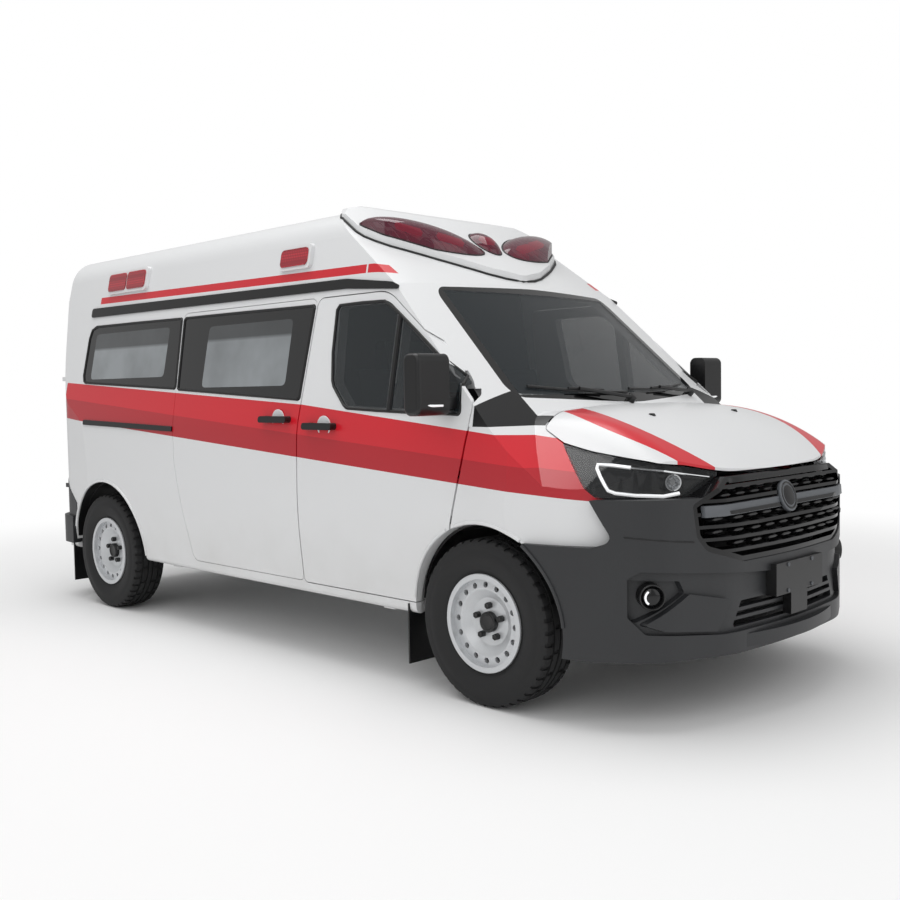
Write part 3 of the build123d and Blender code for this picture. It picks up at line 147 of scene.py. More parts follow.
def lacquered_paint(name, bonnet_stripes):
    material, tree, shader = new_material(
        name, Roughness=0.30, IOR=1.5, Coat_Weight=0.25, Coat_Roughness=0.16)
    place = add_node(tree, "TexCoord", output="Object")
    along, across, height = add_node(tree, "SeparateXYZ", (place,)).node.outputs
    across = add_node(tree, "Math.ABSOLUTE", (across,))
    if bonnet_stripes:
        ahead = add_node(tree, "Math.SUBTRACT", (along, STRIPE_X))
        bow = add_node(tree, "Math.POWER", (ahead, 2.0))
        inner_edge = add_node(tree, "Math.SUBTRACT", (STRIPE_INNER, bow))
        outer_bow = add_node(tree, "Math.MULTIPLY", (bow, STRIPE_OUTER_BOW))
        outer_edge = add_node(tree, "Math.SUBTRACT", (STRIPE_OUTER, outer_bow))
        inside = add_node(tree, "Math.LESS_THAN", (across, outer_edge))
        outside = add_node(tree, "Math.GREATER_THAN", (across, inner_edge))
        mask, shade = add_node(tree, "Math.MULTIPLY", (outside, inside)), 0.0
    else:
        over = {}
        for line in (BAND_FOOT, BAND_SHADE, BAND_TOP, BAND_TOP_FRONT):
            slope, level = line
            lifted = add_node(tree, "VectorMath.DOT_PRODUCT", (place, (slope, 0, 1)), "Value")
            over[line] = add_node(tree, "Math.GREATER_THAN", (lifted, level))
        top = add_node(tree, "Math.MAXIMUM", (over[BAND_TOP], over[BAND_TOP_FRONT]))
        band = add_node(tree, "Math.SUBTRACT", (over[BAND_FOOT], top))
        before_tail = add_node(tree, "Math.GREATER_THAN", (along, BAND_REAR_X))
        band = add_node(tree, "Math.MULTIPLY", (band, before_tail))
        bend = along
        for step, value in (("SUBTRACT", ROOF_LINE_BEND[0]), ("MAXIMUM", 0.0), ("POWER", 2.0),
                            ("MULTIPLY", ROOF_LINE_BEND[1])):
            bend = add_node(tree, f"Math.{step}", (bend, value))
        fall = add_node(tree, "Math.MULTIPLY", (along, ROOF_LINE_FALL))
        level = add_node(tree, "Math.ADD", (height, bend))
        level = add_node(tree, "Math.ADD", (level, fall))
        taper = (along, ROOF_LINE_TAPER_X, ROOF_LINE_X[1], ROOF_LINE_Z[1], ROOF_LINE_Z[0])
        line_top = add_node(tree, "MapRange", taper)
        from_gap = add_node(tree, "Math.SUBTRACT", (along, ROOF_LINE_GAP[0]))
        from_gap = add_node(tree, "Math.ABSOLUTE", (from_gap,))
        thin = add_node(tree, "Math.LESS_THAN", (level, line_top))
        for value, least in ((level, ROOF_LINE_Z[0]), (along, ROOF_LINE_X[0]), (across, ROOF_LINE_Y),
                             (from_gap, ROOF_LINE_GAP[1])):
            past = add_node(tree, "Math.GREATER_THAN", (value, least))
            thin = add_node(tree, "Math.MULTIPLY", (thin, past))
        on_side = add_node(tree, "Math.GREATER_THAN", (across, BAND_SIDE_Y))
        red = add_node(tree, "Math.MAXIMUM", (band, thin))
        mask = add_node(tree, "Math.MULTIPLY", (red, on_side), use_clamp=True)
        # below the shade line the red is painted darker: painted shade under the band's crease
        shade = add_node(tree, "Math.SUBTRACT", (1.0, over[BAND_SHADE]))
    reds = add_node(tree, "Mix", {0: shade, 6: colour(RED), 7: colour(SHADED_RED)}, 2, data_type="RGBA")
    cloud = add_node(tree, "TexNoise", {"Vector": place, "Scale": 1000 / LOW_SHADE_CLOUD_MM, "Detail": 4.0}, "Fac")
    # painted shade: the white turns greyer towards the bottom, mottled by noise
    low = add_node(tree, "MapRange", (height, *LOW_SHADE_Z, 0.0, LOW_SHADE_MOST))
    low_shade = add_node(tree, "Math.MULTIPLY", (low, cloud))
    whites = add_node(tree, "Mix", {0: low_shade, 6: colour(WHITE), 7: colour(LOW_SHADE_GREY)}, 2, data_type="RGBA")
    coat = add_node(tree, "Mix", {0: mask, 6: whites, 7: reds}, 2, data_type="RGBA")
    tree.links.new(coat, shader.inputs["Base Color"])
    peel = add_node(tree, "TexNoise", {"Vector": place, "Scale": 1000 / PEEL_MM, "Detail": 1.0}, "Fac")
    bump = add_node(tree, "Bump", {"Height": peel, "Strength": PEEL_DEPTH, "Distance": BUMP_REACH})
    tree.links.new(bump, shader.inputs["Normal"])
    return material


side_paint = lacquered_paint("lacquered_white_and_red_paint", False)
bonnet_paint = lacquered_paint("lacquered_bonnet_paint", True)
dress(side_paint, "roof", "floor_pan", "cowl", "side_right", "side_left", "sliding_door", "wings",
      "front_door_right", "front_door_left", "rear_door_right", "rear_door_left",
      "roof_lamp_base", "side_lamp_bezels")
dress(bonnet_paint, "bonnet")

# %% [markdown]
# Bumpers and trim are moulded plastic. The mould is etched with a fine grain, so the surface
# scatters light and never mirrors it. A noise bump at grain size gives that. The grain is drawn
# coarser than real, or it would vanish in a picture of a whole vehicle. The same recipe with
# other numbers gives woven cloth, tyre rubber, chassis paint and silver wheel paint.

# %% Moulded plastics, metals and rubber
GRAIN_MM = 4.0


def grained(name, hex_value, roughness, grain_mm, depth, metallic=0.0, spread=1.25):
    material, tree, shader = new_material(name, Roughness=roughness, Metallic=metallic)
    place = add_node(tree, "TexCoord", output="Object")
    grain = add_node(tree, "TexNoise", {"Vector": place, "Scale": 1000 / grain_mm, "Detail": 3.0}, "Fac")
    light = tuple(min(1, c * spread) for c in colour(hex_value)[:3]) + (1,)
    tint = add_node(tree, "Mix", {0: grain, 6: colour(hex_value), 7: light}, 2, data_type="RGBA")
    tree.links.new(tint, shader.inputs["Base Color"])
    bump = add_node(tree, "Bump", {"Height": grain, "Strength": depth, "Distance": BUMP_REACH})
    tree.links.new(bump, shader.inputs["Normal"])
    return material


grey_plastic = grained("grained_grey_polypropylene", "#252628", 0.44, GRAIN_MM, 0.25)
black_plastic = grained("black_abs", "#101011", 0.36, GRAIN_MM, 0.08)
gloss_black = grained("gloss_black_abs", "#08080A", 0.14, GRAIN_MM, 0.01)
satin_grey = grained("satin_grey_abs", "#54575B", 0.36, GRAIN_MM, 0.03)
cab_plastic = grained("cab_plastic", "#303134", 0.6, GRAIN_MM, 0.2)
seat_cloth = grained("woven_seat_cloth", "#3E3F44", 0.9, 3.0, 0.5)
chassis_paint = grained("chassis_paint", "#161617", 0.6, 8.0, 0.2)
wheel_silver = grained("silver_wheel_paint", "#BFC1C3", 0.38, 3.0, 0.04, metallic=0.4)
rubber = grained("tyre_rubber", "#151516", 0.72, 5.0, 0.18)
seal_rubber = grained("seal_rubber", "#0C0C0D", 0.55, 5.0, 0.05)
chrome = grained("lamp_reflector_chrome", "#D9DBDD", 0.12, 20.0, 0.0, metallic=1.0, spread=1.0)
dress(grey_plastic, "front_bumper", "rear_bumper")
dress(black_plastic, "sail_panels", "side_trims", "front_door_fittings_right", "front_door_fittings_left",
      "mudflaps", "arch_liners", "plate_bracket")
dress(gloss_black, "grille")
dress(chassis_paint, "front_suspension", "rear_axle", "frame_rails", "engine", "radiator",
      "knuckle_right", "knuckle_left")
dress(wheel_silver, "rim_front_left", "rim_front_right", "rim_rear_left", "rim_rear_right")
dress(rubber, "tyre_front_left", "tyre_front_right", "tyre_rear_left", "tyre_rear_right")
dress(cab_plastic, "dashboard", "steering_wheel", "partition")
dress(seat_cloth, "seats")

# %% [markdown]
# The windscreen and the front door panes are tinted glass: a dark see-through body with a sharp
# mirror on it. The windscreen has a black printed border that hides the glue, drawn here from the
# place on the screen. The patient space has privacy glass with a pale frosted film on the panes,
# darker towards the top where the film stops.

# %% Glass
SCREEN_TINT, PRINT_BLACK, DOOR_TINT = "#2B3236", "#050506", "#22282B"
SCREEN_COVER = 0.42
SCREEN_EDGE = 0.045
SCREEN_HALF, SCREEN_FOOT_Z, SCREEN_LEAN = 0.745, 1.33, 0.156
PRINT_Z = (1.338, 1.845)
PANES = [
    # middle along, middle height, half length, half height
    (-0.235, 1.575, 0.405, 0.185),
    (-1.520, 1.620, 0.470, 0.160),
]
PANE_CORNER, PANE_EDGE = 0.05, 0.012
FILM_DARK, FILM_PALE = "#0D0E0F", "#8E9396"
FILM_TOP_Z, FILM_FADE, FILM_REST = 1.655, 0.02, 0.22
FILM_CLOUD_MM = 1000 / 3
FILM_MOTTLE = (0.3, 0.7, 0.65, 1.0)
CLEAR_ROUGH, FILM_ROUGH = 0.05, 0.22


def screen_glass():
    material, tree, shader = new_material("tinted_screen_glass", Roughness=0.02, IOR=1.5, Coat_Weight=0.3)
    place = add_node(tree, "TexCoord", output="Object")
    _, across, height = add_node(tree, "SeparateXYZ", (place,)).node.outputs
    across = add_node(tree, "Math.ABSOLUTE", (across,))
    lean = add_node(tree, "Math.SUBTRACT", (height, SCREEN_FOOT_Z))
    lean = add_node(tree, "Math.MULTIPLY", (lean, SCREEN_LEAN))
    across = add_node(tree, "Math.ADD", (across, lean))
    side = add_node(tree, "Math.GREATER_THAN", (across, SCREEN_HALF - SCREEN_EDGE))
    top = add_node(tree, "Math.GREATER_THAN", (height, PRINT_Z[1]))
    foot = add_node(tree, "Math.LESS_THAN", (height, PRINT_Z[0]))
    ends = add_node(tree, "Math.MAXIMUM", (top, foot))
    border = add_node(tree, "Math.MAXIMUM", (side, ends))
    tint = {0: border, 6: colour(SCREEN_TINT), 7: colour(PRINT_BLACK)}
    tree.links.new(add_node(tree, "Mix", tint, 2, data_type="RGBA"), shader.inputs["Base Color"])
    tree.links.new(add_node(tree, "Mix", {0: border, 2: SCREEN_COVER, 3: 1.0}), shader.inputs["Alpha"])
    return material


def frosted_glass():
    material, tree, shader = new_material("frosted_privacy_glass", IOR=1.5, Coat_Weight=0.4)
    place = add_node(tree, "TexCoord", output="Object")
    along, _, height = add_node(tree, "SeparateXYZ", (place,)).node.outputs
    film = 0.0
    for middle_x, middle_z, half_length, half_height in PANES:
        past = []
        for value, middle, half in ((along, middle_x, half_length), (height, middle_z, half_height)):
            away = add_node(tree, "Math.SUBTRACT", (value, middle))
            away = add_node(tree, "Math.ABSOLUTE", (away,))
            past.append(add_node(tree, "Math.SUBTRACT", (away, half)))
        pane = add_node(tree, "Math.SMOOTH_MAX", (*past, PANE_CORNER))
        inside = add_node(tree, "Math.LESS_THAN", (pane, -PANE_EDGE))
        film = add_node(tree, "Math.MAXIMUM", (film, inside))
    fade = add_node(tree, "MapRange", (height, FILM_TOP_Z, FILM_TOP_Z + FILM_FADE, 1.0, FILM_REST))
    cloud = add_node(tree, "TexNoise", {"Vector": place, "Scale": 1000 / FILM_CLOUD_MM, "Detail": 3.0}, "Fac")
    mottle = add_node(tree, "MapRange", (cloud, *FILM_MOTTLE))
    share = add_node(tree, "Math.MULTIPLY", (film, fade))
    share = add_node(tree, "Math.MULTIPLY", (share, mottle))
    tint = {0: share, 6: colour(FILM_DARK), 7: colour(FILM_PALE)}
    tree.links.new(add_node(tree, "Mix", tint, 2, data_type="RGBA"), shader.inputs["Base Color"])
    tree.links.new(add_node(tree, "Mix", {0: film, 2: CLEAR_ROUGH, 3: FILM_ROUGH}), shader.inputs["Roughness"])
    return material


screen_tint = screen_glass()
privacy_glass = frosted_glass()
door_tint = new_material(
    "tinted_door_glass", Base_Color=colour(DOOR_TINT), Roughness=0.02, IOR=1.5, Alpha=0.62, Coat_Weight=0.3)[0]
dress(screen_tint, "windscreen")
dress(door_tint, "front_door_glass_right", "front_door_glass_left")
dress(privacy_glass, "side_glass", "sliding_door_glass", "rear_door_glass_right", "rear_door_glass_left")

# %% [markdown]
# Lamp covers are moulded acrylic. The roof domes are deep red and see-through, so the lit
# blocks inside glow through them. The small side lamps show a grid of diodes behind the cover,
# and the headlamps are smoked clear covers over a black bowl.

# %% Lamp covers
DIODE_MM = 15.0
DIODE_EDGE = (0.20, 0.55)


def diode_cover(name, dark_hex, bright_hex):
    material, tree, shader = new_material(name, Roughness=0.12, IOR=1.49, Coat_Weight=0.5)
    place = add_node(tree, "TexCoord", output="Object")
    cells = {"Vector": place, "Scale": 1000 / DIODE_MM, "Randomness": 0.0}
    near = add_node(tree, "MapRange", (add_node(tree, "TexVoronoi", cells, "Distance"), *DIODE_EDGE, 1.0, 0.0))
    tint = add_node(tree, "Mix", {0: near, 6: colour(dark_hex), 7: colour(bright_hex)}, 2, data_type="RGBA")
    tree.links.new(tint, shader.inputs["Base Color"])
    return material


side_lamp_cover = diode_cover("red_diode_lamp_cover", "#8E0E20", "#C02232")
tail_lamp_cover = diode_cover("red_tail_lamp_cover", "#7A0C18", "#B51A28")
dome_cover = new_material(
    "clear_red_acrylic", Base_Color=colour("#560A26"), Roughness=0.06, IOR=1.49, Alpha=0.84, Coat_Weight=0.5)[0]
smoked_cover = new_material(
    "smoked_polycarbonate", Base_Color=colour("#15181B"), Roughness=0.03, IOR=1.58, Alpha=0.45,
    Coat_Weight=0.5)[0]
clear_lamp_and_glint = new_material(
    "pearl_light_guide_and_painted_glint", Base_Color=colour("#F4F6F8"), Roughness=0.25, IOR=1.5,
    Emission_Color=colour("#FFFFFF"), Emission_Strength=0.25)[0]
diode_red = new_material(
    "lit_red_diodes", Base_Color=colour("#C01830"), Roughness=0.4,
    Emission_Color=colour("#FF3048"), Emission_Strength=0.5)[0]
mirror_glass = new_material(
    "mirror_silvering", Base_Color=colour("#C9CED1"), Metallic=1.0, Roughness=0.03)[0]
dress(side_lamp_cover, "side_lamp_lenses")
dress(tail_lamp_cover, "tail_lamps")
dress(dome_cover, "roof_lamp_lenses")
dress(smoked_cover, "headlamps")

# %% [markdown]
# The new pieces are modelled as by hand: add a primitive at its place, shape it in edit mode,
# close it, check its normals. These helpers do the steps that every piece needs. A line of
# points is drawn by pushing one vertex along, and a pipe is such a line given a round section.
# A piece that the left side has too is made on the right and mirrored, and a piece that lies on
# a panel finds its place by a ray from outside.


# %% Modelling helpers
MERGE = 1e-5
RIGHT_Y, TOP_Z = -1.4, 3.0  # outside the vehicle, where rays start
TO_LEFT, DOWN = (0, 1, 0), (0, 0, -1)
FACING_X, FACING_Y = (0, math.pi / 2, 0), (math.pi / 2, 0, 0)  # how a cylinder is turned


def leave_edit():
    if bpy.context.mode != "OBJECT":
        bpy.ops.object.mode_set(mode="OBJECT")


def pick(piece):
    bpy.ops.object.select_all(action="DESELECT")
    piece.select_set(True)
    bpy.context.view_layer.objects.active = piece


def start(name, kind, **size):
    leave_edit()
    bpy.ops.object.select_all(action="DESELECT")
    getattr(bpy.ops.mesh, f"primitive_{kind}_add")(**size)
    piece = bpy.context.active_object
    piece.name = name
    bpy.ops.object.transform_apply(location=True, rotation=True, scale=True)
    bpy.ops.object.mode_set(mode="EDIT")
    return piece


def select_mesh():
    bpy.ops.mesh.select_all(action="SELECT")


def choose_faces(piece, test):
    bpy.ops.mesh.select_mode(type="FACE")
    bpy.ops.mesh.select_all(action="DESELECT")
    mesh = bmesh.from_edit_mesh(piece.data)
    for face in mesh.faces:
        face.select_set(test(face.calc_center_median(), face.normal))
    bmesh.update_edit_mesh(piece.data)


def press(piece, way, *steps, least=0.9):
    choose_faces(piece, lambda centre, normal: normal.dot(Vector(way)) > least)
    for thickness, depth in steps:
        bpy.ops.mesh.inset(thickness=thickness, depth=depth)


def push(*move):
    bpy.ops.mesh.extrude_region_move(TRANSFORM_OT_translate={"value": move})


def trace(name, points):
    piece = start(name, "plane", size=0.001, location=points[0])
    bpy.ops.mesh.select_mode(type="VERT")
    select_mesh()
    bpy.ops.mesh.merge(type="CENTER")
    for before, after in zip(points, points[1:]):
        push(*(Vector(after) - Vector(before)))
    select_mesh()
    return piece


def pipe(name, points, radius, closed=False):
    trace(name, [*points, points[0]] if closed else points)
    bpy.ops.mesh.remove_doubles(threshold=MERGE)
    leave_edit()
    bpy.ops.object.convert(target="CURVE")
    line = bpy.context.active_object.data
    line.bevel_depth = radius
    line.bevel_resolution = 2
    line.use_fill_caps = True
    bpy.ops.object.convert(target="MESH")
    return bpy.context.active_object


def slab(name, points, depth):
    piece = trace(name, points)
    bpy.ops.mesh.edge_face_add()
    push(*depth)
    return piece


def thicken(piece, thickness, offset):
    leave_edit()
    wall = piece.modifiers.new("wall", "SOLIDIFY")
    wall.thickness = thickness
    wall.offset = offset
    bpy.ops.object.modifier_apply(modifier=wall.name)


def join(name, pieces):
    leave_edit()
    bpy.ops.object.select_all(action="DESELECT")
    for piece in pieces:
        piece.select_set(True)
    bpy.context.view_layer.objects.active = pieces[0]
    bpy.ops.object.join()
    pieces[0].name = name
    return pieces[0]


def copy_of(piece, name, shift=(0, 0, 0), flip=False):
    leave_edit()
    pick(piece)
    bpy.ops.object.duplicate(linked=False)
    copy = bpy.context.active_object
    copy.name = name
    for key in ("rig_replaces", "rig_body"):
        if key in copy:
            del copy[key]
    copy.location = shift
    copy.scale = (1, -1 if flip else 1, 1)
    bpy.ops.object.transform_apply(location=True, rotation=True, scale=True)
    return copy


def settle(piece, material, body="vehicle", bevel=0.0, angle=35, stands_for=None):
    leave_edit()
    pick(piece)
    bpy.ops.object.mode_set(mode="EDIT")
    select_mesh()
    bpy.ops.mesh.remove_doubles(threshold=MERGE)
    bpy.ops.mesh.normals_make_consistent(inside=False)
    leave_edit()
    if bevel:
        edges = piece.modifiers.new("soft_edges", "BEVEL")
        edges.width = bevel
        edges.segments = 2
        edges.limit_method = "ANGLE"
        bpy.ops.object.modifier_apply(modifier=edges.name)
    bpy.ops.object.shade_smooth_by_angle(angle=math.radians(angle))
    piece.data.materials.clear()
    piece.data.materials.append(material)
    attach(piece, body)
    if stands_for:
        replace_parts(piece, stands_for)
    print(piece.name, len(piece.data.polygons), "faces on", body)


def settle_pair(piece, material, body="vehicle", bevel=0.0):
    twin = copy_of(piece, piece.name.replace("right", "left"), flip=True)
    settle(piece, material, body, bevel)
    settle(twin, material, body.replace("right", "left"), bevel)


def touch(names, spot, way):
    hits = []
    for name in names:
        found, place, normal, _ = nodes[name].ray_cast(Vector(spot), Vector(way).normalized())
        if found:
            hits.append(((place - Vector(spot)).length, place, normal))
    return min(hits, key=lambda hit: hit[0])[1:] if hits else (None, None)


def landing(names, spot, way):
    return touch(names, spot, way)[0]


# %% [markdown]
# A road tyre is moulded rubber with ring grooves and cut shoulder blocks. Half of its section is
# drawn as a line, closed with an inner wall, and spun about the axle. Then every third shoulder
# face and every sixth face of the rows beside the middle is pushed in, which leaves the cross
# slots of a van tyre. One tyre is made, then copied.

# %% Tyres with tread
AXLES = {"front": 1.55, "rear": -1.75}
WHEEL_Y, WHEEL_Z = 0.868, 0.3645
TYRE_STEPS = 132
TYRE_HALF = [
    # across the tyre, radius
    (0.0840, 0.2060), (0.0870, 0.2230), (0.0925, 0.2290), (0.0955, 0.2400), (0.1030, 0.2600),
    (0.1070, 0.2850), (0.1065, 0.3050), (0.1040, 0.3110), (0.1040, 0.3220), (0.1020, 0.3400),
    (0.0985, 0.3515), (0.0920, 0.3590), (0.0800, 0.3625), (0.0600, 0.3640), (0.0590, 0.3560),
    (0.0500, 0.3560), (0.0490, 0.3643), (0.0210, 0.3645), (0.0200, 0.3560), (0.0110, 0.3560),
    (0.0100, 0.3645),
]
TYRE_INSIDE = [(0.0800, 0.3480), (0.0960, 0.3000), (0.0900, 0.2500), (0.0780, 0.2080)]
SLOT_DEPTH, SLOT_LEAST_R = 0.007, 0.345
SHOULDER_ROW, MIDDLE_ROW = (0.060, 0.100), (0.022, 0.048)


def tyre_slot(centre, normal):
    ahead, above = centre.x - AXLES["front"], centre.z - WHEEL_Z
    step = round(math.atan2(above, ahead) / math.tau * TYRE_STEPS - 0.5)
    row = abs(centre.y + WHEEL_Y)
    shoulder = SHOULDER_ROW[0] < row < SHOULDER_ROW[1] and step % 3 == 0
    middle = MIDDLE_ROW[0] < row < MIDDLE_ROW[1] and step % 6 == 1
    faces_out = normal.dot(Vector((ahead, 0, above))) > 0
    return math.hypot(ahead, above) > SLOT_LEAST_R and faces_out and (shoulder or middle)


def on_all_wheels(piece, stem):
    pieces = {("front", "right"): piece}
    for end, side in (("front", "left"), ("rear", "right"), ("rear", "left")):
        shift = (AXLES[end] - AXLES["front"], 0, 0)
        pieces[end, side] = copy_of(piece, f"{stem}_{end}_{side}", shift, side == "left")
    return pieces.items()


ring = [*TYRE_HALF, *[(-y, r) for y, r in reversed(TYRE_HALF)],
        *[(-y, r) for y, r in reversed(TYRE_INSIDE)], *TYRE_INSIDE]
section = [(AXLES["front"], y - WHEEL_Y, WHEEL_Z + r) for y, r in ring]
tyre = trace("tyre_tread_front_right", [*section, section[0]])
bpy.ops.mesh.remove_doubles(threshold=MERGE)
select_mesh()
bpy.ops.mesh.spin(steps=TYRE_STEPS, angle=math.tau, center=(AXLES["front"], -WHEEL_Y, WHEEL_Z), axis=(0, 1, 0))
select_mesh()
bpy.ops.mesh.remove_doubles(threshold=MERGE)
bpy.ops.mesh.normals_make_consistent(inside=False)
choose_faces(tyre, tyre_slot)
bpy.ops.mesh.extrude_region_shrink_fatten(TRANSFORM_OT_shrink_fatten={"value": -SLOT_DEPTH})
for (end, side), piece in on_all_wheels(tyre, "tyre_tread"):
    settle(piece, rubber, f"wheel_{end}_{side}", angle=30, stands_for=f"tyre_{end}_{side}")

# %% [markdown]
# The hub of a steel wheel carries a pressed cap and five hexagon nuts, all black here. The cap is
# a cylinder whose face is inset and pushed in; a nut is a six-sided cylinder with a stud in it.

# %% Hub caps and wheel nuts
DISC_OUT = 0.044
DISC_FACE_Y = WHEEL_Y + DISC_OUT
CAP_OUT, NUT_OUT = 0.0105, 0.0115
NUT_RING, NUTS = 0.072, 5
cap = start("hub_cap", "cylinder", vertices=40, radius=0.0450, depth=0.023,
            location=(AXLES["front"], -DISC_FACE_Y - CAP_OUT, WHEEL_Z), rotation=FACING_Y)
press(cap, (0, -1, 0), (0.010, 0.004), (0.006, -0.006))
nut = start("wheel_nut", "cylinder", vertices=6, radius=0.0150, depth=0.025,
            location=(AXLES["front"], -DISC_FACE_Y - NUT_OUT, WHEEL_Z + NUT_RING), rotation=FACING_Y)
press(nut, (0, -1, 0), (0.0035, 0.002), (0.0030, -0.003))
hub = [cap, nut]
for i in range(1, NUTS):
    turn = math.tau * i / NUTS
    hub.append(copy_of(nut, f"wheel_nut_{i}", (NUT_RING * math.sin(turn), 0, NUT_RING * (math.cos(turn) - 1))))
hub = join("hub_fittings_front_right", hub)
for (end, side), piece in on_all_wheels(hub, "hub_fittings"):
    settle(piece, black_plastic, f"wheel_{end}_{side}", bevel=0.0015)

# %% [markdown]
# Pressed steel is folded over where a wheel arch is cut, which leaves a rounded lip that catches
# the light. Each lip is a pipe laid on the panel: points on the arch circle are dropped onto the
# skin from outside. The lip is split where the panels are, so the part on a door opens with it.

# %% Wheel arch lips
LIP_R, LIP_STEPS = 0.009, 24
SKIN_Y = -0.75
REAR_ARCH_X = -1.74
ARCH_LIPS = [
    # name, nodes it lies on, body, centre along, radius, first angle, last angle, finish
    ("arch_lip_wing", ("wings",), "vehicle", 1.56, 0.437, 60, 109, side_paint),
    ("arch_lip_door", ("front_door_right",), "door_right", 1.56, 0.437, 117, 172, side_paint),
    ("arch_lip_bumper", ("front_bumper",), "vehicle", 1.56, 0.437, 6, 56, grey_plastic),
    ("arch_lip_rear", ("side_right", "floor_pan"), "vehicle", REAR_ARCH_X, 0.457, 2, 178, side_paint),
]
for name, lies_on, body, centre_x, radius, first, last, finish in ARCH_LIPS:
    points = []
    for i in range(LIP_STEPS + 1):
        turn = math.radians(first + (last - first) * i / LIP_STEPS)
        spot = (centre_x + radius * math.cos(turn), RIGHT_Y, WHEEL_Z + radius * math.sin(turn))
        place = landing(lies_on, spot, TO_LEFT)
        if place is not None and place.y < SKIN_Y:
            points.append(place)
    settle_pair(pipe(f"{name}_right", points, LIP_R), finish, body)

# %% [markdown]
# Behind the lip the rear arch has a black inner edge. A thin band follows the arch, a little
# inside the body's outline: an arc of points is pushed inwards and given a wall.

# %% Dark bands inside the rear arches
BAND_R, BAND_DEEP, BAND_WALL, BAND_IN = 0.449, 0.180, 0.002, 0.008
BAND_TURNS = range(8, 176, 4)
SILL_HALF, SILL_Z, SIDE_SPREAD = 0.950, 0.345, 0.1012
MOST_HALF, TAIL_X, TAIL_TAPER = 1.0, -1.85, 0.1


def body_half(x, z):
    low_half = SILL_HALF + SIDE_SPREAD * (z - SILL_Z)
    return min(low_half, MOST_HALF - TAIL_TAPER * max(0.0, TAIL_X - x)) - BAND_IN


arc = []
for degrees in BAND_TURNS:
    turn = math.radians(degrees)
    x, z = REAR_ARCH_X + BAND_R * math.cos(turn), WHEEL_Z + BAND_R * math.sin(turn)
    arc.append((x, -body_half(x, z), z))
band = trace("arch_band_right", arc)
push(0, BAND_DEEP, 0)
thicken(band, BAND_WALL, 0)
settle_pair(band, black_plastic)

# %% [markdown]
# A headlamp is a clear shell over a black bowl. The bowl is a copy of the solid lamp set back
# inside it. On the real lamp a white light guide draws a hook round the bowl, and two
# chrome modules sit in its mouth. The guide is a pipe through points on the lens, and so is the
# chrome strip along the lamp's brow.

# %% Headlamp bowls, light guides and modules
GUIDE = [
    (2.335, -0.655, 0.944), (2.300, -0.712, 0.934), (2.222, -0.787, 0.939), (2.160, -0.840, 0.949),
    (2.138, -0.856, 0.960), (2.128, -0.862, 0.979), (2.098, -0.850, 1.010), (2.069, -0.834, 1.042),
    (2.065, -0.823, 1.058), (2.120, -0.803, 1.055), (2.192, -0.778, 1.047),
]
BROW = [(2.192, -0.778, 1.047), (2.293, -0.690, 1.032), (2.329, -0.610, 1.017), (2.372, -0.497, 0.999)]
MODULES = [(2.190, -0.735, 0.992), (2.285, -0.640, 0.985)]
MODULE_WAY = (0.82, -0.57, 0)
MODULE_TURN = (0, math.pi / 2, math.radians(-35))
BOWL_BACK = (-0.034, 0, -0.004)
bowl = copy_of(nodes["headlamps"], "headlamp_bowls", BOWL_BACK)
settle(bowl, gloss_black)
settle_pair(pipe("light_guide_right", GUIDE, radius=0.0075), clear_lamp_and_glint)
settle_pair(pipe("brow_strip_right", BROW, radius=0.0045), chrome)
modules = []
for i, spot in enumerate(MODULES):
    module = start(f"lamp_module_{i}", "cylinder", vertices=32, radius=0.034, depth=0.06,
                   location=spot, rotation=MODULE_TURN)
    press(module, MODULE_WAY, (0.005, 0.0), (0.010, -0.016), (0.008, 0.010))
    modules.append(module)
settle_pair(join("lamp_modules_right", modules), chrome)

# %% [markdown]
# The grille is a black moulding: a frame with rows of staggered fins, a satin bar across the
# middle, a black bar on top and a plain round boss in a satin ring. The face follows the bumper's
# curve low down and leans back higher up. One fin is modelled as a wedge and copied along each row.

# %% Grille fins, bars and boss
WEDGE_ROWS = (0.7050, 0.7305, 0.7560, 0.7815, 0.8070, 0.8325, 0.9230, 0.9485)
WEDGE_STEP = 0.116
WEDGE_LONG, WEDGE_TALL, WEDGE_DEEP = 0.106, 0.026, 0.030
WEDGE_TIP, WEDGE_TIP_Z = (1, 0.8, 0.4), 0.005
HEXAGON = 0.866  # width over flats against width over corners
NOSE_X, NOSE_BOW, NOSE_CURL = 2.500, 0.150, 0.22
FACE_X, FACE_Z, FACE_LEAN = 2.560, 0.500, 0.2745
FOOT_Z, FOOT_HALF, FOOT_SPREAD = 0.68, 0.49, 0.9
MIDDLE_Z, MIDDLE_HALF = 0.78, 0.60
CROWN_Z, CROWN_CLOSE = 0.89, 1.7
MIDDLE_BAR_Y = (-0.60, -0.50, -0.35, -0.18, 0, 0.18, 0.35, 0.50, 0.60)
TOP_BAR_Y = (-0.44, -0.30, -0.15, 0, 0.15, 0.30, 0.44)
BAR_PROUD = 0.004
BOSS_SPOT, BOSS_TURN = (2.453, 0, 0.888), (0, math.radians(74), 0)


def grille_x(y, z):
    bow = NOSE_X - NOSE_BOW * y * y - NOSE_CURL * y ** 4
    return min(bow, FACE_X - FACE_LEAN * (z - FACE_Z))


def grille_half(z):
    if z < MIDDLE_Z:
        return FOOT_HALF + (z - FOOT_Z) * FOOT_SPREAD
    return MIDDLE_HALF - max(0.0, z - CROWN_Z) * CROWN_CLOSE


def grille_bar(name, places, face_z, foot_z, rise, back):
    bar = trace(name, [(grille_x(y, face_z) + BAR_PROUD, y, foot_z) for y in places])
    push(*rise)
    select_mesh()
    push(-back, 0, 0)
    return bar


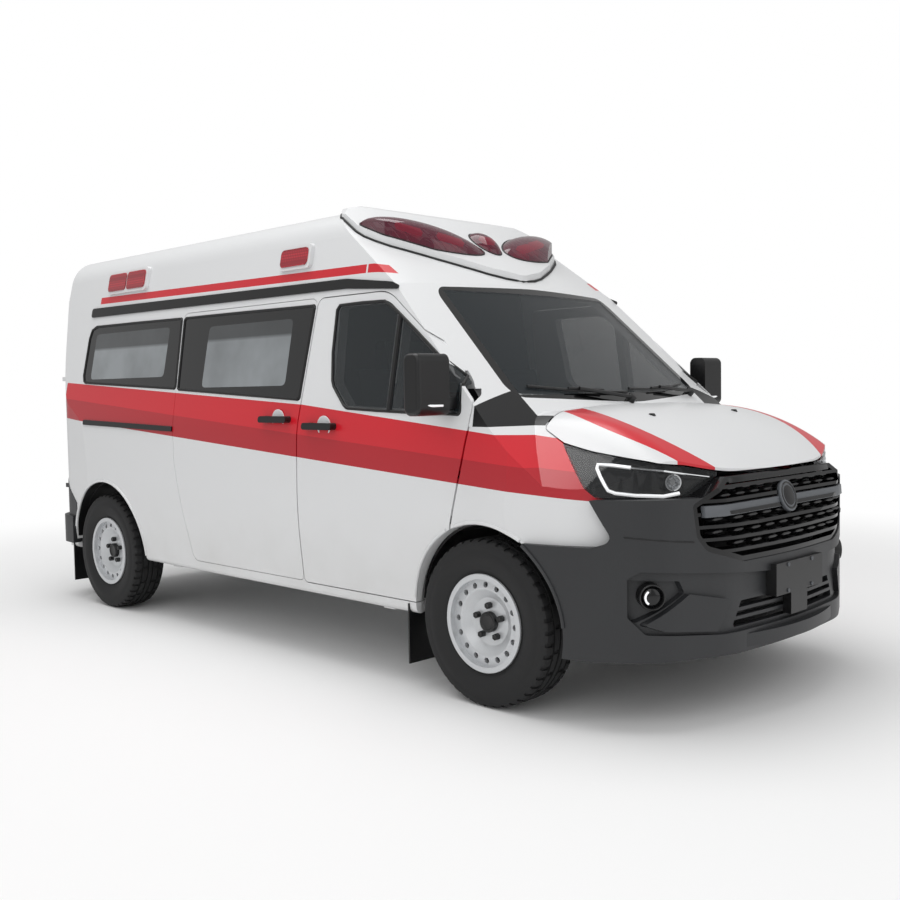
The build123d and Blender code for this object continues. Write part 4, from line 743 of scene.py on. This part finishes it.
wedge = start("grille_wedge", "cylinder", vertices=6, radius=0.5, depth=1, location=(0, 0, 0), rotation=FACING_X)
select_mesh()
bpy.ops.transform.resize(value=(WEDGE_DEEP, WEDGE_LONG, WEDGE_TALL / HEXAGON))
choose_faces(wedge, lambda centre, normal: normal.x > 0.9)
bpy.ops.transform.resize(value=WEDGE_TIP, center_override=(0, 0, WEDGE_TIP_Z))
wedges = []
for row, z in enumerate(WEDGE_ROWS):
    count = int(grille_half(z) / WEDGE_STEP)
    for i in range(-count, count + 1):
        y = (i + 0.5 * (row % 2)) * WEDGE_STEP
        if abs(y) < grille_half(z) - WEDGE_LONG / 2:
            wedges.append(copy_of(wedge, f"wedge_{row}_{i}", (grille_x(y, z) - WEDGE_DEEP, y, z)))
bpy.data.objects.remove(wedge)
settle(join("grille_wedges", wedges), black_plastic, bevel=0.0015)
middle_bar = grille_bar("grille_middle_bar", MIDDLE_BAR_Y,
                        face_z=0.892, foot_z=0.846, rise=(-0.004, 0, 0.046), back=0.022)
settle(middle_bar, satin_grey, bevel=0.003)
boss = start("grille_boss", "cylinder", vertices=48, radius=0.060, depth=0.026,
             location=BOSS_SPOT, rotation=BOSS_TURN)
press(boss, (1, 0, 0), (0.006, 0.0), (0.004, -0.004), (0.018, 0.003), least=0.8)
settle(boss, gloss_black, bevel=0.002)
boss_ring = start("grille_boss_ring", "cylinder", vertices=48, radius=0.069, depth=0.016,
                  location=BOSS_SPOT, rotation=BOSS_TURN)
press(boss_ring, (1, 0, 0), (0.004, 0.002), least=0.8)
settle(boss_ring, satin_grey, bevel=0.002)
top_bar = grille_bar("grille_top_bar", TOP_BAR_Y,
                     face_z=0.985, foot_z=0.972, rise=(-0.006, 0, 0.024), back=0.020)
settle(top_bar, gloss_black, bevel=0.003)

# %% [markdown]
# A fog lamp sits in each bumper pocket: a black ring round a dark bowl with a bright crescent,
# a glowing pipe that is a painted highlight.
# Ring and bowl start as short cylinders turned to face along the bumper's slant. The intake below
# the grille is dark inside with shade, so a black sheet closes it as painted shade, and a thin seam
# line parts the bumper's corner from the panel under the lamp. Four screws hold the plate bracket.

# %% Fog lamps, intake, seam lines and plate screws
FOG_SPOT = Vector((2.282, -0.782, 0.548))
FOG_YAW = math.radians(42)
FOG_TURN = (0, math.pi / 2, -FOG_YAW)
FOG_WAY = Vector((math.cos(FOG_YAW), -math.sin(FOG_YAW), 0))
FOG_SIDE = Vector((FOG_WAY.y, -FOG_WAY.x, 0))
BOWL_OUT, CRESCENT_OUT, CRESCENT_R = 0.026, 0.042, 0.029
CRESCENT_TURNS = range(-56, 57, 14)
ring_piece = start("fog_lamp_ring_right", "cylinder", vertices=48, radius=0.052, depth=0.075,
                   location=FOG_SPOT, rotation=FOG_TURN)
press(ring_piece, FOG_WAY, (0.006, 0.004), (0.006, -0.020))
settle_pair(ring_piece, black_plastic, bevel=0.002)
bulb = start("fog_lamp_bowl_right", "cylinder", vertices=40, radius=0.037, depth=0.010,
             location=FOG_SPOT + FOG_WAY * BOWL_OUT, rotation=FOG_TURN)
press(bulb, FOG_WAY, (0.012, 0.006), (0.010, 0.003))
settle_pair(bulb, gloss_black, bevel=0.001)
# the bright crescent is a painted highlight: a glowing pipe along the bowl's outer side
arc = []
for degrees in CRESCENT_TURNS:
    turn = math.radians(degrees)
    spoke = FOG_SIDE * math.cos(turn) + Vector((0, 0, math.sin(turn)))
    arc.append(FOG_SPOT + FOG_WAY * CRESCENT_OUT + spoke * CRESCENT_R)
settle_pair(pipe("fog_lamp_guide_right", arc, radius=0.0045), clear_lamp_and_glint)

# the black sheet in the intake is painted shade: it darkens the intake's inside
INTAKE_X, INTAKE_WALL = 2.362, 0.008
INTAKE_EDGE = [(-0.47, 0.325), (0.47, 0.325), (0.40, 0.500), (-0.40, 0.500)]
shade_sheet = slab("intake_shade_sheet", [(INTAKE_X, y, z) for y, z in INTAKE_EDGE], (-INTAKE_WALL, 0, 0))
settle(shade_sheet, black_plastic, bevel=0.001)

SEAM = [
    (2.220, -0.868, 0.782), (2.268, -0.815, 0.775), (2.315, -0.755, 0.767),
    (2.355, -0.700, 0.760), (2.392, -0.639, 0.753),
]
OFF_CORNER = Vector((0.2, -0.2, 0))
seam = [landing(("front_bumper",), Vector(spot) + OFF_CORNER, -OFF_CORNER) for spot in SEAM]
settle_pair(pipe("bumper_seam_right", seam, radius=0.0035), seal_rubber)

SCREW_X = 2.5155
SCREWS = [(-0.105, 0.4995), (-0.105, 0.6095), (0.105, 0.4995), (0.105, 0.6095)]
screws = []
for i, (y, z) in enumerate(SCREWS):
    screw = start(f"plate_screw_{i}", "cylinder", vertices=20, radius=0.0085, depth=0.006,
                  location=(SCREW_X, y, z), rotation=FACING_X)
    press(screw, (1, 0, 0), (0.003, 0.0015), (0.002, -0.0025))
    screws.append(screw)
settle(join("plate_screws", screws), satin_grey, bevel=0.0008)

# %% [markdown]
# Two wipers rest along the foot of the windscreen. Arm and blade are pipes laid on the glass:
# their points are given as seen from the front and dropped onto the screen, then lifted a little.
# Two small washer nozzles sit on the bonnet in front of them.

# %% Wipers and washer nozzles
SCREEN_NODES = ("windscreen", "cowl", "sail_panels")
SCREEN_OUT = Vector((0.67, 0, 0.74))
FRONT_X = 3.0
WIPERS = [
    # name, blade points (across, height), arm points (across, height)
    ("right", [(-0.63, 1.372), (-0.42, 1.352), (-0.20, 1.340), (-0.02, 1.334)],
     [(-0.04, 1.300), (-0.20, 1.322), (-0.36, 1.346)]),
    ("left", [(0.02, 1.352), (0.20, 1.346), (0.40, 1.352), (0.58, 1.368)],
     [(0.60, 1.322), (0.46, 1.330), (0.28, 1.346)]),
]
BLADE_LIFT, SPINE_LIFT, ARM_LIFT, PIVOT_LIFT = 0.008, 0.019, 0.024, 0.012
PIVOT_TURN = (0, math.radians(42), 0)
NOZZLE_X, NOZZLE_Y, OVER_BONNET_Z = 2.000, 0.345, 2.0
NOZZLE_SIZE, NOZZLE_TOP = (0.036, 0.022, 0.016), (0.6, 0.7, 1)


def on_screen(across, height, lift):
    return landing(SCREEN_NODES, (FRONT_X, across, height), (-1, 0, 0)) + SCREEN_OUT * lift


for name, blade, arm in WIPERS:
    parts = [
        pipe("wiper_blade", [on_screen(y, z, BLADE_LIFT) for y, z in blade], radius=0.0065),
        pipe("wiper_spine", [on_screen(y, z, SPINE_LIFT) for y, z in blade[1:3]], radius=0.0055),
        pipe("wiper_arm", [on_screen(y, z, ARM_LIFT) for y, z in arm], radius=0.0085),
    ]
    foot = start("wiper_pivot", "cylinder", vertices=24, radius=0.020, depth=0.030,
                 location=on_screen(*arm[0], PIVOT_LIFT), rotation=PIVOT_TURN)
    press(foot, (0, 0, 1), (0.006, 0.004), least=0.5)
    settle(join(f"wiper_{name}", [*parts, foot]), black_plastic)

for side, y in (("right", -NOZZLE_Y), ("left", NOZZLE_Y)):
    place = landing(("bonnet",), (NOZZLE_X, y, OVER_BONNET_Z), DOWN)
    nozzle = start(f"washer_nozzle_{side}", "cube", size=1, location=place, scale=NOZZLE_SIZE)
    choose_faces(nozzle, lambda centre, normal: normal.z > 0.9)
    bpy.ops.transform.resize(value=NOZZLE_TOP)
    settle(nozzle, black_plastic, "bonnet_body", bevel=0.003)

# %% [markdown]
# The roof pod is a white fairing glued to the roof with a dark gasket at its foot. Each red dome
# has a gasket too. Its line is where the dome dips under the fairing, and halving the distance
# again and again finds that edge. Under the domes sit blocks of diodes. A block is a box whose
# top is cut into cells, each cell inset.

# %% Roof pod gaskets and diode blocks
POD_FOOT = [
    (0.322, 0.650), (0.345, 0.690), (0.385, 0.726), (0.430, 0.741), (0.520, 0.746), (0.565, 0.733),
    (0.610, 0.697), (0.660, 0.643), (0.720, 0.553), (0.792, 0.441), (0.856, 0.327), (0.918, 0.205),
    (0.952, 0.110),
]
POD_NOSE = (0.968, 0.0)
RIM_STEP, RIM_AHEAD, RIM_WIDER, RIM_LIFT = 0.03, 0.004, 1.006, 0.002
rim = [(x, -y) for x, y in POD_FOOT] + [POD_NOSE] + [(x, y) for x, y in reversed(POD_FOOT)]
foot_line = []
for (x0, y0), (x1, y1) in zip(rim, rim[1:] + rim[:1]):
    cuts = math.ceil(math.hypot(x1 - x0, y1 - y0) / RIM_STEP)
    for i in range(cuts):
        x, y = x0 + (x1 - x0) * i / cuts, y0 + (y1 - y0) * i / cuts
        place, normal = touch(("roof",), (x + RIM_AHEAD, y * RIM_WIDER, TOP_Z), DOWN)
        foot_line.append(place + normal * RIM_LIFT)
settle(pipe("pod_gasket", foot_line, radius=0.007, closed=True), seal_rubber)

SLOPE = Vector((0.571, 0, 0.821))
HIGH_ABOVE = SLOPE * 0.5
DOMES = [
    # name, place along and across, direction, half length, half width
    ("dome_gasket_right", (0.660, -0.397), (0.44, 0.90), 0.372, 0.132),
    ("dome_gasket_middle", (0.690, 0.0), (1.0, 0.0), 0.125, 0.085),
    ("dome_gasket_left", (0.660, 0.397), (0.44, -0.90), 0.372, 0.132),
]
DOME_POINTS, HALVINGS = 64, 12
SURELY_IN, SURELY_OUT = 0.3, 1.05


def under_dome(spot):
    dome = landing(("roof_lamp_lenses",), spot + HIGH_ABOVE, -SLOPE)
    base = landing(("roof_lamp_base", "roof"), spot + HIGH_ABOVE, -SLOPE)
    return dome is not None and (base is None or (dome - base).dot(SLOPE) > 0)


for name, (x, y), way, half_length, half_width in DOMES:
    middle = landing(("roof",), (x, y, TOP_Z), DOWN)
    along = Vector((*way, 0))
    along = (along - SLOPE * along.dot(SLOPE)).normalized()
    side = SLOPE.cross(along)
    ring = []
    for i in range(DOME_POINTS):
        turn = math.tau * i / DOME_POINTS
        reach = along * half_length * math.cos(turn) + side * half_width * math.sin(turn)
        inside, outside = SURELY_IN, SURELY_OUT
        for _ in range(HALVINGS):
            share = (inside + outside) / 2
            if under_dome(middle + reach * share):
                inside = share
            else:
                outside = share
        ring.append(landing(("roof_lamp_lenses",), middle + reach * inside + HIGH_ABOVE, -SLOPE))
    settle(pipe(name, ring, radius=0.005, closed=True), seal_rubber)

ALONG_RIGHT, ALONG_LEFT = (0.304, 0.929, -0.210), (0.304, -0.929, -0.210)
BLOCKS = [
    # place along and across, direction, half length
    ((0.610, -0.500), ALONG_RIGHT, 0.070),
    ((0.705, -0.295), ALONG_RIGHT, 0.070),
    ((0.690, 0.000), (0.0, 1.0, 0.0), 0.040),
    ((0.610, 0.500), ALONG_LEFT, 0.070),
    ((0.705, 0.295), ALONG_LEFT, 0.070),
]
BLOCK_LIFT, BLOCK_WIDE, BLOCK_TALL = 0.056, 0.050, 0.022
blocks = []
for i, (flat, along, half) in enumerate(BLOCKS):
    spot = landing(("roof",), (*flat, TOP_Z), DOWN)
    along = Vector(along).normalized()
    turned = Matrix((along, SLOPE.cross(along), SLOPE)).transposed().to_euler()
    block = start(f"diode_block_{i}", "cube", size=1, location=spot + SLOPE * BLOCK_LIFT, rotation=turned,
                  scale=(2 * half, BLOCK_WIDE, BLOCK_TALL))
    select_mesh()
    bpy.ops.mesh.subdivide(number_cuts=3)
    choose_faces(block, lambda centre, normal: normal.dot(SLOPE) > 0.9)
    bpy.ops.mesh.inset(thickness=0.003, depth=-0.004, use_individual=True)
    blocks.append(block)
settle(join("pod_diode_blocks", blocks), diode_red)

# %% [markdown]
# Glass in a van is held by black rubber or a printed edge. A thin pipe round each pane gives that
# dark line. Its corners are dropped onto the glass from outside, so it follows the curved side.
# An upright bar parts the front door's pane from its quarter light.

# %% Window seals and bars
SEAL_R = 0.008
SEALS = [
    # name, node, body, outline as (along, height)
    ("door_seal", ("front_door_glass_right", "front_door_right"), "door_right",
     [(0.520, 1.560), (0.512, 1.770), (0.530, 1.792), (0.700, 1.794), (0.860, 1.790), (0.960, 1.735),
      (1.100, 1.640), (1.260, 1.528), (1.405, 1.425), (1.428, 1.390), (1.441, 1.275), (1.430, 1.260),
      (1.150, 1.267), (0.900, 1.276), (0.690, 1.286), (0.655, 1.300), (0.560, 1.392), (0.545, 1.420)]),
    ("sliding_seal", ("sliding_door_glass", "sliding_door"), "vehicle",
     [(0.296, 1.345), (0.325, 1.790), (0.312, 1.804), (-0.300, 1.809), (-0.890, 1.812), (-0.904, 1.800),
      (-0.876, 1.400), (-0.862, 1.394), (-0.300, 1.364), (0.280, 1.331)]),
    ("quarter_seal", ("side_glass", "side_right"), "vehicle",
     [(-0.938, 1.800), (-0.952, 1.812), (-1.500, 1.817), (-1.980, 1.818), (-2.045, 1.800), (-2.068, 1.745),
      (-2.076, 1.500), (-2.060, 1.462), (-2.030, 1.452), (-1.500, 1.428), (-0.920, 1.401), (-0.906, 1.412)]),
]
for name, lies_on, body, outline in SEALS:
    line = [landing(lies_on, (x, RIGHT_Y, z), TO_LEFT) for x, z in outline]
    settle_pair(pipe(f"{name}_right", line, SEAL_R, closed=True), seal_rubber, body)

BAR_X, BAR_HEIGHTS = 0.985, (1.276, 1.420, 1.560, 1.712)
line = [landing(("front_door_glass_right",), (BAR_X, RIGHT_Y, z), TO_LEFT) for z in BAR_HEIGHTS]
settle_pair(pipe("window_bar_right", line, radius=0.013), seal_rubber, "door_right")

# %% [markdown]
# A van mirror is a deep black shell with the glass set in its back and a clear turn lamp on
# its outer edge. The shell is in the frame. The glass is a plate with a rounded rim, and the lamp a
# thin strip along the front.

# %% Mirror glass and turn lamps
TURN_LAMP = [(1.428, -1.060, 1.300), (1.430, -1.120, 1.300), (1.424, -1.170, 1.304), (1.400, -1.200, 1.310)]
glass_plate = start("mirror_pane_right", "cube", size=1, location=(1.3345, -1.112, 1.390),
                    scale=(0.004, 0.150, 0.226))
press(glass_plate, (-1, 0, 0), (0.006, -0.0015))
settle_pair(glass_plate, mirror_glass, "door_right", bevel=0.001)
settle_pair(pipe("turn_lamp_right", TURN_LAMP, radius=0.006), clear_lamp_and_glint, "door_right")

# %% [markdown]
# Behind each door handle the panel is pressed into a round cup for the fingers. The panel itself
# stays as it is, so a thin dished ring on the skin gives the cup its edge and shade.

# %% Handle cups
CUPS = [
    # name, node, body, along, height
    ("handle_cup_front_right", "front_door_right", "door_right", 0.520, 1.198),
    ("handle_cup_sliding", "sliding_door", "vehicle", 0.140, 1.229),
]
for name, lies_on, body, x, z in CUPS:
    place = landing((lies_on,), (x, RIGHT_Y, z), TO_LEFT)
    cup = start(name, "cylinder", vertices=40, radius=0.052, depth=0.006, location=place, rotation=FACING_Y)
    press(cup, (0, -1, 0), (0.006, 0.0), (0.016, -0.0025))
    finish_cup = settle if body == "vehicle" else settle_pair
    finish_cup(cup, bonnet_paint, body, bevel=0.001)

# %% [markdown]
# The back of the van is plain: two doors with a black pull on the right one, and a blank plate
# panel with a lamp over it on the left. They are small boxes with soft edges, seated on the skin.

# %% Rear door pull, plate panel and plate lamp
BEHIND_X = -3.2
REAR_FITTINGS = [
    # name, body, node, across, height, size, finish
    ("rear_pull", "back_door_right", "rear_door_right", -0.110, 1.160, (0.040, 0.150, 0.060), black_plastic),
    ("rear_plate_panel", "back_door_left", "rear_door_left", 0.400, 0.900, (0.014, 0.540, 0.150), satin_grey),
    ("plate_lamp", "back_door_left", "rear_door_left", 0.400, 1.000, (0.030, 0.300, 0.030), black_plastic),
]
for name, body, lies_on, y, z, size, finish in REAR_FITTINGS:
    place = landing((lies_on,), (BEHIND_X, y, z), (1, 0, 0))
    fitting = start(name, "cube", size=1, location=place, scale=size)
    press(fitting, (-1, 0, 0), (0.010, 0.003), (0.006, -0.004))
    settle(fitting, finish, body, bevel=0.003)

# %% [markdown]
# Grey plastic from the rear bumper runs up the body's rear corners behind the wheel arch. A copy
# of the side panel's own skin is the best start, because it already has the curve. It is merged,
# cut along two planes, its inner faces are dropped and the rest is thickened outwards.

# %% Rear corner cladding
CLAD_CUTS = [
    # point on the cut, direction of what is dropped
    ((-2.150, 0, 0), (1, 0, 0)),
    ((-2.200, 0, 0.690), (0.60, 0, 0.80)),
]
CLAD_THICK = 0.004
CLAD_FACING, CLAD_LEAST = (-0.6, 0.8), 0.3
for side, sign in (("right", -1), ("left", 1)):
    clad = bpy.data.objects.new(f"rear_corner_{side}", nodes[f"side_{side}"].data.copy())
    bpy.context.scene.collection.objects.link(clad)
    pick(clad)
    bpy.ops.object.mode_set(mode="EDIT")
    select_mesh()
    bpy.ops.mesh.remove_doubles(threshold=MERGE)
    for spot, way in CLAD_CUTS:
        select_mesh()
        bpy.ops.mesh.bisect(plane_co=spot, plane_no=way, clear_outer=True)
    outward = Vector((CLAD_FACING[0], CLAD_FACING[1] * sign, 0))
    choose_faces(clad, lambda centre, normal: normal.dot(outward) < CLAD_LEAST)
    bpy.ops.mesh.delete(type="FACE")
    thicken(clad, CLAD_THICK, 1)
    settle(clad, grey_plastic)

# %% [markdown]
# The camera stands where the photographer stood, worked out from the wheels and body lines. The scene
# is a pale floor and soft panels of light, so that white paint keeps its shading. Far from the
# vehicle the floor turns into plain white for the camera, so no horizon shows.

# %% Camera
YAW, PITCH, ROLL = 0.7820, -0.0571, -0.0173
CAMERA_SPOT = Vector((4.6559, -4.2698, 1.3708))
FOCAL_PX, FRAME_PX, SENSOR_MM = 1069.88, 900, 36.0
forward = Vector((
    -math.sin(YAW) * math.cos(PITCH), math.cos(YAW) * math.cos(PITCH), math.sin(PITCH)))
level_right = forward.cross(Vector((0, 0, 1))).normalized()
level_up = level_right.cross(forward)
right = level_right * math.cos(ROLL) + level_up * math.sin(ROLL)
up = level_up * math.cos(ROLL) - level_right * math.sin(ROLL)
camera_data = bpy.data.cameras.new("photo_camera")
camera_data.sensor_width = SENSOR_MM
camera_data.lens = FOCAL_PX / FRAME_PX * SENSOR_MM
camera = bpy.data.objects.new("photo_camera", camera_data)
bpy.context.scene.collection.objects.link(camera)
turn = Matrix((right, up, -forward)).transposed().to_4x4()
camera.matrix_world = Matrix.Translation(CAMERA_SPOT) @ turn
bpy.context.scene.camera = camera
print("camera lens", round(camera_data.lens, 2))

# %% Floor
FLOOR_SIZE = 80.0
FADE_FROM, FADE_TO = 3.0, 7.0
bpy.ops.object.select_all(action="DESELECT")
bpy.ops.mesh.primitive_plane_add(size=FLOOR_SIZE, location=(0, 0, 0))
floor = bpy.context.active_object
floor.name = "studio_floor"
floor_paint, tree, shader = new_material("studio_floor_paint", Base_Color=colour("#F4F4F4"), Roughness=0.9)
place = add_node(tree, "TexCoord", output="Object")
reach = add_node(tree, "VectorMath.LENGTH", (place,), "Value")
away = add_node(tree, "MapRange", (reach, FADE_FROM, FADE_TO, 0.0, 1.0), interpolation_type="SMOOTHSTEP")
rays = add_node(tree, "LightPath").node.outputs
seen = add_node(tree, "Math.MAXIMUM", (rays["Is Camera Ray"], rays["Is Transmission Ray"]))
plain = add_node(tree, "Math.MULTIPLY", (seen, away))
white_floor = add_node(tree, "Emission", {"Color": (1, 1, 1, 1), "Strength": 1.0})
blend = add_node(tree, "MixShader", (plain, shader.outputs[0], white_floor))
tree.links.new(blend, tree.nodes["Material Output"].inputs["Surface"])
floor.data.materials.append(floor_paint)

# %% Lights
WORLD_LIGHT = 0.50
LIGHTS = [
    # name, place, target, size, power
    ("key_panel", (5.0, -8.0, 6.5), (0.5, -0.6, 1.0), 9.0, 240.0),
    ("front_panel", (9.0, 1.5, 4.5), (1.5, 0.0, 1.0), 8.0, 135.0),
    ("top_panel", (-1.0, -1.0, 8.5), (0.0, 0.0, 0.0), 7.0, 400.0),
]
for name, spot, target, size, power in LIGHTS:
    lamp = bpy.data.lights.new(name, "AREA")
    lamp.size = size
    lamp.energy = power
    holder = bpy.data.objects.new(name, lamp)
    holder.location = spot
    holder.rotation_euler = (Vector(target) - Vector(spot)).to_track_quat("-Z", "Y").to_euler()
    bpy.context.scene.collection.objects.link(holder)
world = bpy.data.worlds.new("studio")
world.use_nodes = True
tree = world.node_tree
backdrop = tree.nodes["Background"]
backdrop.inputs["Color"].default_value = (1, 1, 1, 1)
rays = add_node(tree, "LightPath").node.outputs
seen = add_node(tree, "Math.MAXIMUM", (rays["Is Camera Ray"], rays["Is Transmission Ray"]))
tree.links.new(add_node(tree, "Mix", {0: seen, 2: WORLD_LIGHT, 3: 1.0}), backdrop.inputs["Strength"])
bpy.context.scene.world = world
bpy.context.scene.view_settings.view_transform = "Standard"
print("lights", len(LIGHTS))
